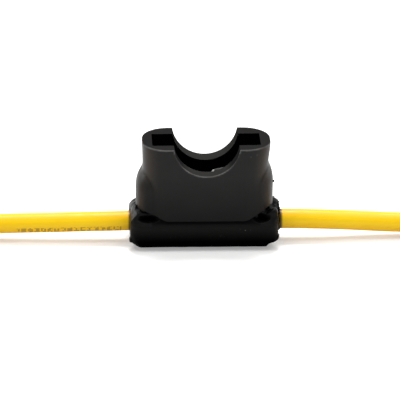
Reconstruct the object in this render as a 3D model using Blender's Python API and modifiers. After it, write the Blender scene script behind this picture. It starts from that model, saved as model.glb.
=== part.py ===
"""An inline holder for one standard blade fuse, with a soft boot round its foot and a lead out of each end.

Metres, +Z up. The origin is in the middle of the boot's underside, which rests on z = 0. The leads leave along
+X and -X. The wall that faces -Y is the front.
"""

import math

import bmesh
import bpy
import numpy as np
from mathutils import Matrix, Vector

MM = 0.001
GAP = 0.3 * MM  # left between any two pieces that touch on the real holder
OVERRUN = 2.0 * MM  # how far a cutter runs past the faces it cuts

# The fuse that the holder takes
FUSE_WIDTH = 19.1 * MM
FUSE_THICKNESS = 5.1 * MM
BLADE_WIDTH = 5.2 * MM
BLADE_THICKNESS = 0.8 * MM
BLADE_SPACING = 9.7 * MM  # between the middles of the two blades

# The leads
LEAD_DIAMETER = 3.6 * MM
CONDUCTOR_DIAMETER = 2.4 * MM
STRIPPED_LENGTH = 8.0 * MM
STRIPPED_DIAMETER = 2.3 * MM
LEAD_POINT_SPACING = 2 * LEAD_DIAMETER
STEPS_PER_POINT = 16  # of the smooth curve, between two points of a route

# The folded contacts
SHEET = 0.4 * MM
CURL_RADIUS = 0.8 * MM  # to the middle of the sheet
BLADE_EDGE_PLAY = 0.1 * MM
BLADE_FACE_PLAY = 0.05 * MM
CURL_LIP_IN = 0.6  # where the curl's lip starts, in curl radii in from the middle of the curl
CURL_LIP_UP = 0.15  # and up from the foot of the curl
CURL_TIP_IN = 1.1  # where the lip ends
CURL_TO_CRIMP = 0.35 * MM
NECK_LENGTH = 1.2 * MM
NECK_THICKNESS = 0.36 * MM  # a little less than the sheet, so that no faces of the two coincide
WIRE_CRIMP_LENGTH = 2.0 * MM
GRIP_LENGTH = 1.2 * MM
GRIP_SETBACK = 0.2 * MM  # from the end of the insulation to the ring that grips it
CRIMP_SEAM_ANGLE = math.radians(24)
NECK_HEIGHT = 2.4 * MM

# The soft boot
BOOT_FLOOR = 1.4 * MM
BOOT_BORE_FLOOR = 1.2 * MM  # under the bore at each end
BOOT_BORE_ROOF = 1.4 * MM
BOOT_SIDE_WALL = 1.35 * MM
BOOT_LEFT_END_WALL = 1.15 * MM
BOOT_RIGHT_END_WALL = 0.5 * MM  # worn thinner than the left one
BOOT_SHOULDER_RADIUS = 4.7 * MM  # of the section's two upper corners
BOOT_FOOT_RADIUS = 3.4 * MM  # of the two lower ones
BOOT_PLAN_RADIUS = 2.0 * MM
BOOT_END_FOOT_RADIUS = 1.5 * MM  # of both ends in side view
BOOT_LEFT_TOP_RADIUS = 3.4 * MM
BOOT_RIGHT_TOP_RADIUS = 2.6 * MM
COLLAR_DIAMETER = 5.1 * MM  # the thin collar round the lead at the right end
COLLAR_LENGTH = 0.5 * MM

# The socket housing
FUSE_END_PLAY = 0.35 * MM
FUSE_FACE_PLAY = 0.2 * MM
END_WALL = 1.8 * MM
FACE_WALL = 3.0 * MM
COLUMN_CORNER_RADIUS = 4.4 * MM
COLUMN_FLARE = 0.15 * MM  # how far each end leans out, from the foot to the rim
RIM_ROUNDING = 0.25 * MM
SLOT_HEIGHT = 11.3 * MM
SLOT_CORNER_RADIUS = 0.3 * MM
SEAT_ABOVE_BOOT = 0.5 * MM
SEAT_THICKNESS = 1.0 * MM
SCALLOP_RADIUS = 6.25 * MM
SCALLOP_CENTRE_ABOVE_RIM = 0.85 * MM
LUG_REACH = 1.05 * MM  # past the end of the column
LUG_HALF_LENGTH = 4.5 * MM
LUG_INSET = 0.25 * MM  # from the column's front and back faces
LUG_SHOULDER_ABOVE_BOOT = 3.2 * MM
LUG_DOME_HEIGHT = 5.6 * MM
CORE_END_WALL = 1.35 * MM
CORE_SIDE_WALL = 2.25 * MM
CORE_CORNER_RADIUS = 1.5 * MM
CHANNEL_CORNER_RADIUS = 0.4 * MM
BLADE_SLOT_PLAY = 0.3 * MM
BLADE_SLOT_CORNER_RADIUS = 0.2 * MM

# The ties round the folded leads
TIE_THICKNESS = 0.8 * MM
TIE_WIDTH = 2.5 * MM
TIE_HEAD = 4.0 * MM
TIE_HEAD_HEIGHT = 2.2 * MM
TIE_HEAD_CORNER_RADIUS = 0.5 * MM
TIE_X = 58.0 * MM
TIE_Y = 1.5 * MM

# What follows from those sizes: the contacts, measured from the middle of a blade
CONTACT_PLATE_Y = BLADE_THICKNESS / 2 + BLADE_FACE_PLAY + SHEET / 2
CONTACT_CURL_X = BLADE_WIDTH / 2 + BLADE_EDGE_PLAY
CONTACT_HALF_WIDTH = CONTACT_CURL_X + CURL_RADIUS + SHEET / 2
CONTACT_CURL_Y = CONTACT_PLATE_Y - CURL_RADIUS
WIRE_CRIMP_RADIUS = CONDUCTOR_DIAMETER / 2 + GAP + SHEET
GRIP_RADIUS = LEAD_DIAMETER / 2 + GAP + SHEET

# Distances from the middle of the holder, along a lead
CONTACT_X = BLADE_SPACING / 2
CONTACT_EDGE_X = CONTACT_X + CONTACT_HALF_WIDTH
CRIMP_START_X = CONTACT_EDGE_X + CURL_TO_CRIMP
CRIMP_END_X = CRIMP_START_X + WIRE_CRIMP_LENGTH
INSULATION_X = CRIMP_END_X + GAP
GRIP_START_X = INSULATION_X + GRIP_SETBACK
GRIP_END_X = GRIP_START_X + GRIP_LENGTH
BORE_END_X = GRIP_END_X + GAP
BOOT_LEFT_X = -(BORE_END_X + BOOT_LEFT_END_WALL)
BOOT_RIGHT_X = BORE_END_X + BOOT_RIGHT_END_WALL

# Heights
WIRE_Z = BOOT_BORE_FLOOR + GAP + GRIP_RADIUS
BOOT_HEIGHT = WIRE_Z + GRIP_RADIUS + GAP + BOOT_BORE_ROOF
CORE_Z = BOOT_FLOOR + GAP
SEAT_Z = BOOT_HEIGHT + SEAT_ABOVE_BOOT
BOOT_WIDEST_Z = BOOT_HEIGHT - BOOT_SHOULDER_RADIUS
BOOT_FOOT = min(BOOT_FOOT_RADIUS, BOOT_WIDEST_Z)
CHANNEL_TOP_Z = SEAT_Z - SEAT_THICKNESS
CONTACT_TOP_Z = CHANNEL_TOP_Z - GAP
RIM_Z = SEAT_Z + SLOT_HEIGHT

# Widths along X and depths along Y
SLOT_WIDTH = FUSE_WIDTH + 2 * FUSE_END_PLAY
SLOT_DEPTH = FUSE_THICKNESS + 2 * FUSE_FACE_PLAY
COLUMN_WIDTH = SLOT_WIDTH + 2 * END_WALL
COLUMN_DEPTH = SLOT_DEPTH + 2 * FACE_WALL
WIRE_NOTCH_RADIUS = WIRE_CRIMP_RADIUS + GAP
CORE_WIDTH = 2 * (CONTACT_EDGE_X + GAP + CORE_END_WALL)
CORE_DEPTH = 2 * (WIRE_NOTCH_RADIUS + CORE_SIDE_WALL)
BOOT_DEPTH = CORE_DEPTH + 2 * (GAP + BOOT_SIDE_WALL)

# The routes of the leads, from the end of the insulation inside the boot to the stripped end, chosen by hand.
# Each runs straight out, settles onto the surface and turns back in one fold beside itself.
FOLD = [
    (58.0, -0.4, 2.9), (63.8, -1.1, 2.75), (69.3, -3.3, 2.35), (74.3, -6.1, 2.0), (79.4, -8.5, 1.85),
    (84.8, -9.5, 1.85), (90.2, -8.0, 1.85), (94.2, -4.0, 1.85), (95.6, 1.5, 1.85), (94.2, 7.0, 1.85),
    (90.2, 11.0, 1.85), (84.8, 12.5, 1.85), (79.4, 11.6, 1.85), (74.3, 9.4, 2.0), (69.3, 6.7, 2.35),
    (63.8, 4.6, 2.75), (58.0, 3.5, 2.9), (52.0, 3.8, 2.9),
]
RIGHT_ROUTE = [
    (11.2, 0.0, 4.0), (16.5, 0.0, 4.0), (22.0, 0.1, 3.9), (28.0, 0.45, 3.7), (34.0, 0.75, 3.4),
    (40.0, 0.75, 3.15), (46.0, 0.35, 3.0), (52.0, -0.15, 2.92), *FOLD,
]
LEFT_ROUTE = [
    (11.2, 0.0, 4.0), (16.5, 0.0, 4.0), (22.0, 0.0, 3.95), (28.0, -0.05, 3.85), (34.0, -0.1, 3.7),
    (40.0, -0.2, 3.45), (46.0, -0.3, 3.15), (52.0, -0.4, 2.95), *FOLD,
]


# Scene, collections and materials

def start_scene():
    for old in list(bpy.data.objects):
        bpy.data.objects.remove(old, do_unlink=True)
    collections = {}
    for name in ("inline_fuse_holder", "cutters"):
        collections[name] = bpy.data.collections.new(name)
        bpy.context.scene.collection.children.link(collections[name])
    root = bpy.data.objects.new("fuse_holder_origin", None)
    collections["inline_fuse_holder"].objects.link(root)
    return collections["inline_fuse_holder"], collections["cutters"], root


def plain_material(name, colour, roughness, metallic=0.0):
    material = bpy.data.materials.new(name)
    material.use_nodes = True
    shader = material.node_tree.nodes["Principled BSDF"]
    shader.inputs["Base Color"].default_value = (*colour, 1.0)
    shader.inputs["Roughness"].default_value = roughness
    shader.inputs["Metallic"].default_value = metallic
    return material


# Outlines in the plane, as lists of (u, v)

def arc(centre, radius, start, end, steps):
    """Points on an arc, from one angle in degrees to another."""
    points = []
    for i in range(steps + 1):
        angle = math.radians(start + (end - start) * i / steps)
        points.append((centre[0] + radius * math.cos(angle), centre[1] + radius * math.sin(angle)))
    return points


def rounded_rectangle(width, height, radius, steps=6, middle=(0.0, 0.0)):
    radius = min(radius, 0.49 * width, 0.49 * height)
    u = width / 2 - radius
    v = height / 2 - radius
    points = []
    for centre_u, centre_v, start in ((u, v, 0), (-u, v, 90), (-u, -v, 180), (u, -v, 270)):
        centre = (middle[0] + centre_u, middle[1] + centre_v)
        points += arc(centre, radius, start, start + 90, steps)
    return points


def four_radii(low, high, radii, growth, steps):
    """A rectangle from low to high, larger by growth. Its radii run anticlockwise from the upper right corner."""
    corners = ((high[0], high[1]), (low[0], high[1]), (low[0], low[1]), (high[0], low[1]))
    inwards = ((-1, -1), (1, -1), (1, 1), (-1, 1))
    points = []
    for turn in range(4):
        radius = radii[turn]
        centre_u = corners[turn][0] + inwards[turn][0] * radius
        centre_v = corners[turn][1] + inwards[turn][1] * radius
        points += arc((centre_u, centre_v), radius + growth, 90 * turn, 90 * turn + 90, steps)
    return points


# From outlines to meshes

PLANES = {
    "XY": Matrix.Identity(4),
    "XZ": Matrix(((1, 0, 0, 0), (0, 0, -1, 0), (0, 1, 0, 0), (0, 0, 0, 1))),
    "YZ": Matrix(((0, 0, 1, 0), (1, 0, 0, 0), (0, 1, 0, 0), (0, 0, 0, 1))),
}


def new_object(name, data, collection):
    made = bpy.data.objects.new(name, data)
    collection.objects.link(made)
    return made


def as_mesh_object(source, name, collection):
    """The evaluated object as a welded mesh in world space. The source object is removed."""
    bpy.context.view_layer.update()
    evaluated = source.evaluated_get(bpy.context.evaluated_depsgraph_get())
    mesh = bpy.data.meshes.new_from_object(evaluated)
    mesh.transform(source.matrix_world)
    edit = bmesh.new()
    edit.from_mesh(mesh)
    bmesh.ops.remove_doubles(edit, verts=edit.verts, dist=0.0005 * MM)
    bmesh.ops.recalc_face_normals(edit, faces=edit.faces)
    edit.to_mesh(mesh)
    edit.free()
    bpy.data.objects.remove(source, do_unlink=True)
    return new_object(name, mesh, collection)


def prism(name, outline, plane, start, end, collection):
    """A closed flat outline in one plane, extruded square to it from start to end."""
    curve = bpy.data.curves.new(name + "_outline", "CURVE")
    curve.dimensions = "2D"
    curve.fill_mode = "BOTH"
    curve.extrude = (end - start) / 2
    spline = curve.splines.new("POLY")
    spline.points.add(len(outline) - 1)
    for point, (u, v) in zip(spline.points, outline):
        point.co = (u, v, 0.0, 1.0)
    spline.use_cyclic_u = True
    sketch = new_object(name + "_outline", curve, collection)
    sketch.matrix_world = PLANES[plane] @ Matrix.Translation((0.0, 0.0, (start + end) / 2))
    return as_mesh_object(sketch, name, collection)


def folded_strip(name, path, plane, start, end, thickness, collection):
    """Sheet metal: an open path in one plane, extruded square to it and given its thickness."""
    edit = bmesh.new()
    points = [edit.verts.new((u, v, start)) for u, v in path]
    edges = [edit.edges.new(pair) for pair in zip(points, points[1:])]
    swept = bmesh.ops.extrude_edge_only(edit, edges=edges)["geom"]
    tops = [item for item in swept if isinstance(item, bmesh.types.BMVert)]
    bmesh.ops.translate(edit, verts=tops, vec=(0.0, 0.0, end - start))
    edit.transform(PLANES[plane])
    mesh = bpy.data.meshes.new(name)
    edit.to_mesh(mesh)
    edit.free()
    sheet = new_object(name + "_sheet", mesh, collection)
    solid = sheet.modifiers.new("Thickness", "SOLIDIFY")
    solid.thickness = thickness
    solid.offset = 0.0
    solid.use_even_offset = True
    return as_mesh_object(sheet, name, collection)


def turned(name, profile, collection, steps=32):
    """A profile of (radius, height) from the axis round to the axis, turned about Z. It runs top to bottom."""
    mesh = bpy.data.meshes.new(name)
    edges = [(i, i + 1) for i in range(len(profile) - 1)]
    mesh.from_pydata([(radius, 0.0, height) for radius, height in profile], edges, [])
    made = new_object(name + "_profile", mesh, collection)
    screw = made.modifiers.new("Turn", "SCREW")
    screw.steps = steps
    screw.render_steps = steps
    screw.use_merge_vertices = True
    screw.merge_threshold = 0.001 * MM
    return as_mesh_object(made, name, collection)


def rod(name, radius, start, end, collection, sides=24):
    """A round bar or a round cutter between two points."""
    start = Vector(start)
    end = Vector(end)
    edit = bmesh.new()
    bmesh.ops.create_cone(
        edit, cap_ends=True, segments=sides, radius1=radius, radius2=radius, depth=(end - start).length
    )
    turn = (end - start).to_track_quat("Z", "Y").to_matrix().to_4x4()
    edit.transform(Matrix.Translation((start + end) / 2) @ turn)
    mesh = bpy.data.meshes.new(name)
    edit.to_mesh(mesh)
    edit.free()
    return new_object(name, mesh, collection)


def combine(target, other, operation):
    """One exact Boolean, made at once: UNION, DIFFERENCE or INTERSECT. The other object is used up."""
    modifier = target.modifiers.new(operation.title(), "BOOLEAN")
    modifier.operation = operation
    modifier.solver = "EXACT"
    modifier.object = other
    bpy.context.view_layer.update()
    evaluated = target.evaluated_get(bpy.context.evaluated_depsgraph_get())
    mesh = bpy.data.meshes.new_from_object(evaluated)
    target.modifiers.clear()
    target.data = mesh
    bpy.data.objects.remove(other, do_unlink=True)
    return target


def copy_of(source, name, collection):
    return new_object(name, source.data.copy(), collection)


def half_turn(made):
    """The second of two like shapes: the first turned half way round the holder's upright axis."""
    made.data.transform(Matrix.Rotation(math.pi, 4, "Z"))
    return made


def finish(made, name, parts, root, material, smooth_angle=35):
    """Gives a finished piece its name, place in the assembly, material and shading."""
    for collection in list(made.users_collection):
        collection.objects.unlink(made)
    parts.objects.link(made)
    made.name = name
    made.data.name = name
    made.parent = root
    made.data.materials.clear()
    made.data.materials.append(material)
    if made.type == "MESH":
        made.data.shade_smooth()
        made.data.set_sharp_from_angle(angle=math.radians(smooth_angle))
    return made


# The boot

def boot_form(name, growth, work):
    """The boot's outer form, where its plan, its section and its side view meet, larger by growth all round.

    The section has full shoulders over a rounder foot, with a flat top and a flat underside.
    """
    length = BOOT_RIGHT_X - BOOT_LEFT_X + 2 * growth
    depth = BOOT_DEPTH + 2 * growth
    middle_x = (BOOT_LEFT_X + BOOT_RIGHT_X) / 2
    plan = rounded_rectangle(length, depth, BOOT_PLAN_RADIUS + growth, 6, (middle_x, 0.0))
    section_radii = (BOOT_SHOULDER_RADIUS, BOOT_SHOULDER_RADIUS, BOOT_FOOT, BOOT_FOOT)
    section = four_radii((-BOOT_DEPTH / 2, 0.0), (BOOT_DEPTH / 2, BOOT_HEIGHT), section_radii, growth, 9)
    side_radii = (BOOT_RIGHT_TOP_RADIUS, BOOT_LEFT_TOP_RADIUS, BOOT_END_FOOT_RADIUS, BOOT_END_FOOT_RADIUS)
    side = four_radii((BOOT_LEFT_X, 0.0), (BOOT_RIGHT_X, BOOT_HEIGHT), side_radii, growth, 5)
    form = prism(name, plan, "XY", -OVERRUN, BOOT_HEIGHT + OVERRUN, work)
    reach_x = length / 2 + OVERRUN
    across = prism("boot_section", section, "YZ", middle_x - reach_x, middle_x + reach_x, work)
    combine(form, across, "INTERSECT")
    reach_y = depth / 2 + OVERRUN
    combine(form, prism("boot_side", side, "XZ", -reach_y, reach_y, work), "INTERSECT")
    return form


def base_boot(work):
    boot = boot_form("base_boot", 0.0, work)
    collar_end = BOOT_RIGHT_X + COLLAR_LENGTH
    collar = rod("collar", COLLAR_DIAMETER / 2, (BORE_END_X, 0, WIRE_Z), (collar_end, 0, WIRE_Z), work)
    combine(boot, collar, "UNION")
    cavity = rounded_rectangle(CORE_WIDTH + 2 * GAP, CORE_DEPTH + 2 * GAP, CORE_CORNER_RADIUS + GAP, 4)
    combine(boot, prism("cavity", cavity, "XY", BOOT_FLOOR, BOOT_HEIGHT + OVERRUN, work), "DIFFERENCE")
    hole_reach = max(collar_end, -BOOT_LEFT_X) + OVERRUN
    for side in (-1, 1):
        start = (side * CORE_WIDTH / 2, 0, WIRE_Z)
        bore = rod("grip_bore", GRIP_RADIUS + GAP, start, (side * BORE_END_X, 0, WIRE_Z), work)
        combine(boot, bore, "DIFFERENCE")
        hole = rod("lead_hole", LEAD_DIAMETER / 2 + GAP, start, (side * hole_reach, 0, WIRE_Z), work)
        combine(boot, hole, "DIFFERENCE")
    return boot


# The socket housing

def column(work):
    """The upright with rounded ends, flared a little towards a rim with a rounded edge."""
    plan = rounded_rectangle(COLUMN_WIDTH, COLUMN_DEPTH, COLUMN_CORNER_RADIUS, 9)
    made = prism("column", plan, "XY", BOOT_WIDEST_Z, RIM_Z, work)
    edit = bmesh.new()
    edit.from_mesh(made.data)
    for vertex in edit.verts:
        if vertex.co.z > SEAT_Z:
            vertex.co.x *= 1 + 2 * COLUMN_FLARE / COLUMN_WIDTH
    rim = [edge for edge in edit.edges if all(v.co.z > SEAT_Z for v in edge.verts) and edge_turns(edge)]
    bmesh.ops.bevel(edit, geom=rim, offset=RIM_ROUNDING, segments=2, profile=0.5, affect="EDGES")
    edit.to_mesh(made.data)
    edit.free()
    return made


def edge_turns(edge):
    """Whether the two faces at an edge meet at a corner, and not in one flat sheet."""
    return len(edge.link_faces) == 2 and edge.calc_face_angle() > math.radians(45)


def lug(side, work):
    """The domed lug on one end: straight sides under half an ellipsoid."""
    shoulder = BOOT_HEIGHT + LUG_SHOULDER_ABOVE_BOOT
    dome = arc((0.0, 0.0), 1.0, 90, 0, 8)
    profile = [(u, shoulder + v * LUG_DOME_HEIGHT) for u, v in dome]
    profile += [(1.0, BOOT_WIDEST_Z), (0.0, BOOT_WIDEST_Z)]
    profile[0] = (0.0, shoulder + LUG_DOME_HEIGHT)
    made = turned("lug", profile, work, 40)
    half_depth = COLUMN_DEPTH / 2 - LUG_INSET
    middle_x = side * (COLUMN_WIDTH / 2 + LUG_REACH - LUG_HALF_LENGTH)
    made.data.transform(Matrix.Diagonal((LUG_HALF_LENGTH, half_depth, 1.0, 1.0)))
    made.data.transform(Matrix.Translation((middle_x, 0.0, 0.0)))
    return made


def core(work):
    """The part of the housing that the boot hides: it holds the contacts."""
    plan = rounded_rectangle(CORE_WIDTH, CORE_DEPTH, CORE_CORNER_RADIUS, 4)
    return prism("core", plan, "XY", CORE_Z, SEAT_Z + OVERRUN / 2, work)


def contact_channel(work):
    """The room for the right contact, loaded from below, with a slot over it for the fuse's blade."""
    left = -CONTACT_HALF_WIDTH - GAP
    width = 2 * (CONTACT_HALF_WIDTH + GAP)
    low = CONTACT_CURL_Y - CURL_RADIUS - SHEET / 2 - GAP
    high = CONTACT_PLATE_Y + SHEET / 2 + GAP
    middle = (CONTACT_X + left + width / 2, (low + high) / 2)
    room = rounded_rectangle(width, high - low, CHANNEL_CORNER_RADIUS, 2, middle)
    channel = prism("channel", room, "XY", CORE_Z - OVERRUN, CHANNEL_TOP_Z, work)
    blade_width = BLADE_WIDTH + 2 * BLADE_SLOT_PLAY
    blade_depth = BLADE_THICKNESS + 2 * BLADE_SLOT_PLAY
    blade = rounded_rectangle(blade_width, blade_depth, BLADE_SLOT_CORNER_RADIUS, 2, (CONTACT_X, 0.0))
    return combine(channel, prism("blade_slot", blade, "XY", CORE_Z, SEAT_Z + OVERRUN, work), "UNION")


def wire_notch(work):
    """The arched way out of the core for the right contact's crimp, open below."""
    arch = arc((0.0, WIRE_Z), WIRE_NOTCH_RADIUS, 0, 180, 14)
    foot = CORE_Z - OVERRUN
    outline = arch + [(-WIRE_NOTCH_RADIUS, foot), (WIRE_NOTCH_RADIUS, foot)]
    start = CRIMP_START_X - NECK_LENGTH - GAP
    return prism("wire_notch", outline, "YZ", start, CORE_WIDTH / 2 + OVERRUN, work)


def socket_housing(work):
    housing = column(work)
    for side in (-1, 1):
        combine(housing, lug(side, work), "UNION")
    combine(housing, boot_form("boot_room", GAP, work), "DIFFERENCE")
    combine(housing, core(work), "UNION")
    slot = rounded_rectangle(SLOT_WIDTH, SLOT_DEPTH, SLOT_CORNER_RADIUS, 2)
    combine(housing, prism("slot", slot, "XY", SEAT_Z, RIM_Z + OVERRUN, work), "DIFFERENCE")
    reach = COLUMN_DEPTH / 2 + OVERRUN
    centre_z = RIM_Z + SCALLOP_CENTRE_ABOVE_RIM
    scallop = rod("scallop", SCALLOP_RADIUS, (0, -reach, centre_z), (0, reach, centre_z), work, 72)
    combine(housing, scallop, "DIFFERENCE")
    for cut in (contact_channel, wire_notch):
        combine(housing, cut(work), "DIFFERENCE")
        combine(housing, half_turn(cut(work)), "DIFFERENCE")
    return housing


# The contacts

def receptacle_path():
    """The section of the part that grips a blade, seen from above: a plate with a curl along each edge."""
    tongue_y = -(BLADE_THICKNESS / 2 + BLADE_FACE_PLAY + SHEET / 2)
    curl_foot = CONTACT_CURL_Y - CURL_RADIUS
    right = arc((CONTACT_CURL_X, CONTACT_CURL_Y), CURL_RADIUS, 90, -90, 8)
    right.append((CONTACT_CURL_X - CURL_LIP_IN * CURL_RADIUS, curl_foot + CURL_LIP_UP * CURL_RADIUS))
    right.append((CONTACT_CURL_X - CURL_TIP_IN * CURL_RADIUS, tongue_y))
    left = [(-u, v) for u, v in reversed(right)]
    return [(CONTACT_X + u, v) for u, v in left + right]


def contact(work):
    """The right contact: the receptacle, a neck, the ring on the strands and the ring on the insulation."""
    made = folded_strip("contact", receptacle_path(), "XY", CORE_Z, CONTACT_TOP_Z, SHEET, work)
    plate_end = CONTACT_X + CONTACT_CURL_X
    notch_top = min(WIRE_Z + WIRE_CRIMP_RADIUS, CONTACT_TOP_Z - SHEET)
    outside = plate_end + OVERRUN
    notch = [(plate_end, -OVERRUN), (outside, -OVERRUN), (outside, OVERRUN), (plate_end, OVERRUN)]
    combine(made, prism("curl_notch", notch, "XY", CORE_Z - OVERRUN, notch_top, work), "DIFFERENCE")
    ring_y = WIRE_CRIMP_RADIUS - SHEET / 2
    grip_y = GRIP_RADIUS - SHEET / 2
    back = [
        (plate_end - SHEET, CONTACT_PLATE_Y),
        (CRIMP_START_X - NECK_LENGTH + SHEET, CONTACT_PLATE_Y),
        (CRIMP_START_X + SHEET / 2, ring_y),
        (CRIMP_END_X - SHEET / 2, ring_y),
        (GRIP_START_X + SHEET / 2, grip_y),
        (GRIP_END_X - SHEET / 2, grip_y),
    ]
    low = WIRE_Z - NECK_HEIGHT / 2
    combine(made, folded_strip("neck", back, "XY", low, low + NECK_HEIGHT, NECK_THICKNESS, work), "UNION")
    for radius, start, end in ((ring_y, CRIMP_START_X, CRIMP_END_X), (grip_y, GRIP_START_X, GRIP_END_X)):
        seam = math.degrees(CRIMP_SEAM_ANGLE) / 2
        section = arc((0.0, WIRE_Z), radius, -180 + seam, 180 - seam, 20)
        combine(made, folded_strip("crimp", section, "YZ", start, end, SHEET, work), "UNION")
    return made


# The leads

def smooth_route(route, side):
    """Evenly spaced points on the natural cubic spline through a route, whose points are in millimetres."""
    places = np.array(route) * MM
    places[:, 0] *= side
    count = len(places)
    system = 4 * np.eye(count) + np.eye(count, k=1) + np.eye(count, k=-1)
    system[0] = np.eye(count)[0]
    system[-1] = np.eye(count)[-1]
    pull = np.zeros_like(places)
    pull[1:-1] = 6 * (places[2:] - 2 * places[1:-1] + places[:-2])
    bend = np.linalg.solve(system, pull)
    fine = []
    for i in range(count - 1):
        for t in np.arange(0, 1, 1 / STEPS_PER_POINT):
            rest = 1 - t
            straight = rest * places[i] + t * places[i + 1]
            curved = (rest ** 3 - rest) * bend[i] + (t ** 3 - t) * bend[i + 1]
            fine.append(Vector(straight + curved / 6))
    fine.append(Vector(places[-1]))
    return evenly_spaced(fine, LEAD_POINT_SPACING)


def evenly_spaced(points, spacing):
    travelled = [0.0]
    for first, second in zip(points, points[1:]):
        travelled.append(travelled[-1] + (second - first).length)
    count = max(2, round(travelled[-1] / spacing))
    chosen = []
    at = 0
    for i in range(count + 1):
        wanted = travelled[-1] * i / count
        while at < len(points) - 2 and travelled[at + 1] < wanted:
            at += 1
        share = (wanted - travelled[at]) / (travelled[at + 1] - travelled[at])
        chosen.append(points[at].lerp(points[at + 1], min(share, 1.0)))
    return chosen


def lead(name, points, collection):
    curve = bpy.data.curves.new(name, "CURVE")
    curve.dimensions = "3D"
    curve.bevel_depth = LEAD_DIAMETER / 2
    curve.bevel_resolution = 2
    curve.use_fill_caps = True
    spline = curve.splines.new("POLY")
    spline.points.add(len(points) - 1)
    for point, place in zip(spline.points, points):
        point.co = (*place, 1.0)
    return new_object(name, curve, collection)


def stripped_end(points, work):
    """The bare strands that stick out of the far end of the insulation, in line with it."""
    direction = (points[-1] - points[-2]).normalized()
    start = points[-1] + direction * GAP
    return rod("bare_strands", STRIPPED_DIAMETER / 2, start, start + direction * STRIPPED_LENGTH, work, 16)


def tie(side, work):
    """A band round both runs of a folded lead, with a square head on top."""
    inner_height = LEAD_DIAMETER + 2 * GAP
    inner_width = 2 * LEAD_DIAMETER + 5 * GAP
    middle = (TIE_Y, TIE_THICKNESS + inner_height / 2)
    outer = rounded_rectangle(
        inner_width + 2 * TIE_THICKNESS, inner_height + 2 * TIE_THICKNESS, inner_height, 8, middle
    )
    inner = rounded_rectangle(inner_width, inner_height, inner_height, 8, middle)
    start = side * TIE_X - TIE_WIDTH / 2
    end = start + TIE_WIDTH
    made = prism("tie", outer, "YZ", start, end, work)
    head_low = TIE_THICKNESS + inner_height + TIE_THICKNESS / 2
    head = rounded_rectangle(TIE_HEAD, TIE_HEAD, TIE_HEAD_CORNER_RADIUS, 2, (side * TIE_X, TIE_Y))
    combine(made, prism("head", head, "XY", head_low, head_low + TIE_HEAD_HEIGHT, work), "UNION")
    return combine(made, prism("opening", inner, "YZ", start - OVERRUN, end + OVERRUN, work), "DIFFERENCE")


# The whole holder

def build():
    parts, work, root = start_scene()
    housing_black = plain_material("housing_black", (0.018, 0.018, 0.019), 0.45)
    boot_black = plain_material("boot_black", (0.008, 0.008, 0.008), 0.5)
    tinned_brass = plain_material("tinned_brass", (0.72, 0.68, 0.58), 0.3, 1.0)
    copper = plain_material("copper_strands", (0.85, 0.42, 0.26), 0.3, 1.0)
    yellow = plain_material("yellow_insulation", (0.95, 0.62, 0.02), 0.4)
    tie_black = plain_material("tie_black", (0.02, 0.02, 0.02), 0.5)

    finish(socket_housing(work), "socket_housing", parts, root, housing_black)
    finish(base_boot(work), "base_boot", parts, root, boot_black)

    right_contact = contact(work)
    left_contact = half_turn(copy_of(right_contact, "contact_copy", work))
    finish(right_contact, "contact_right", parts, root, tinned_brass)
    finish(left_contact, "contact_left", parts, root, tinned_brass)

    for side, word, route in ((-1, "left", LEFT_ROUTE), (1, "right", RIGHT_ROUTE)):
        crimped = rod(
            "strands", CONDUCTOR_DIAMETER / 2, (side * (CRIMP_START_X + SHEET / 2), 0, WIRE_Z),
            (side * CRIMP_END_X, 0, WIRE_Z), work,
        )
        finish(crimped, "crimped_strands_" + word, parts, root, copper)
        points = smooth_route(route, side)
        finish(stripped_end(points, work), "bare_strands_" + word, parts, root, copper)
        finish(lead("lead", points, work), "lead_" + word, parts, root, yellow)
        finish(tie(side, work), "tie_" + word, parts, root, tie_black)
    bpy.data.collections.remove(work)


build()
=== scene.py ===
# %% [markdown]
# # An inline fuse holder, seen from the front
#
# A stiff black socket takes one blade fuse. A soft boot wraps its foot, and one yellow lead comes out
# of each end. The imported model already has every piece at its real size. This lesson gives each of them
# its finish, and builds finer pieces over the plain ones: a moulded housing with rounded edges, a boot
# of worn rubber, and twisted strands.

import math

import bmesh
import bpy
import numpy as np
from mathutils import Matrix, Vector, noise


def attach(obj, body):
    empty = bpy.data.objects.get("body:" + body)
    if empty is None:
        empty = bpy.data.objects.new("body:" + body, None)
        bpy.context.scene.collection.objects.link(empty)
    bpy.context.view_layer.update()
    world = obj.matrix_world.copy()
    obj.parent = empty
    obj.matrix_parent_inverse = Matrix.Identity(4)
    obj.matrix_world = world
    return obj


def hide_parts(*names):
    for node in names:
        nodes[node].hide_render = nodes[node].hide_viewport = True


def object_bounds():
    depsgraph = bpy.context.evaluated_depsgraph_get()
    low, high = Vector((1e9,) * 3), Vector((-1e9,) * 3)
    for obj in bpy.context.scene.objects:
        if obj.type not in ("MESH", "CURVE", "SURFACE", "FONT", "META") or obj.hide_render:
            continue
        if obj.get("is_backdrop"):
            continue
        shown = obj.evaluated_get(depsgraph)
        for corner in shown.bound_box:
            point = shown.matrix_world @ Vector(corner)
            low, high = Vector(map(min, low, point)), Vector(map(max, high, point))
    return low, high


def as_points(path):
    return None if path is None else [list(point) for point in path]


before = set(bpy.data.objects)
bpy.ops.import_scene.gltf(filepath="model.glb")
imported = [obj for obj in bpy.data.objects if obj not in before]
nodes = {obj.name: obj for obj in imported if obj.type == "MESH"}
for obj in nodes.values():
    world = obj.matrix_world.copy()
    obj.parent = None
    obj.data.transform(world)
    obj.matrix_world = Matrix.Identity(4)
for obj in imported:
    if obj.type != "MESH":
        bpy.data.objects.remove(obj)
cad_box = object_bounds()
MM = 0.001
print("nodes:", ", ".join(sorted(nodes)))

# %% [markdown]
# ## The camera
#
# The photo was taken from a little above and almost square on. Where the slot's four corners and the
# scallop's edge fall in the photo gives the view: 22.4 degrees above the horizon, 2.7 degrees to the
# left, and turned by half a degree. A long lens far away keeps the lines nearly parallel, as they are
# there.

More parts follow.
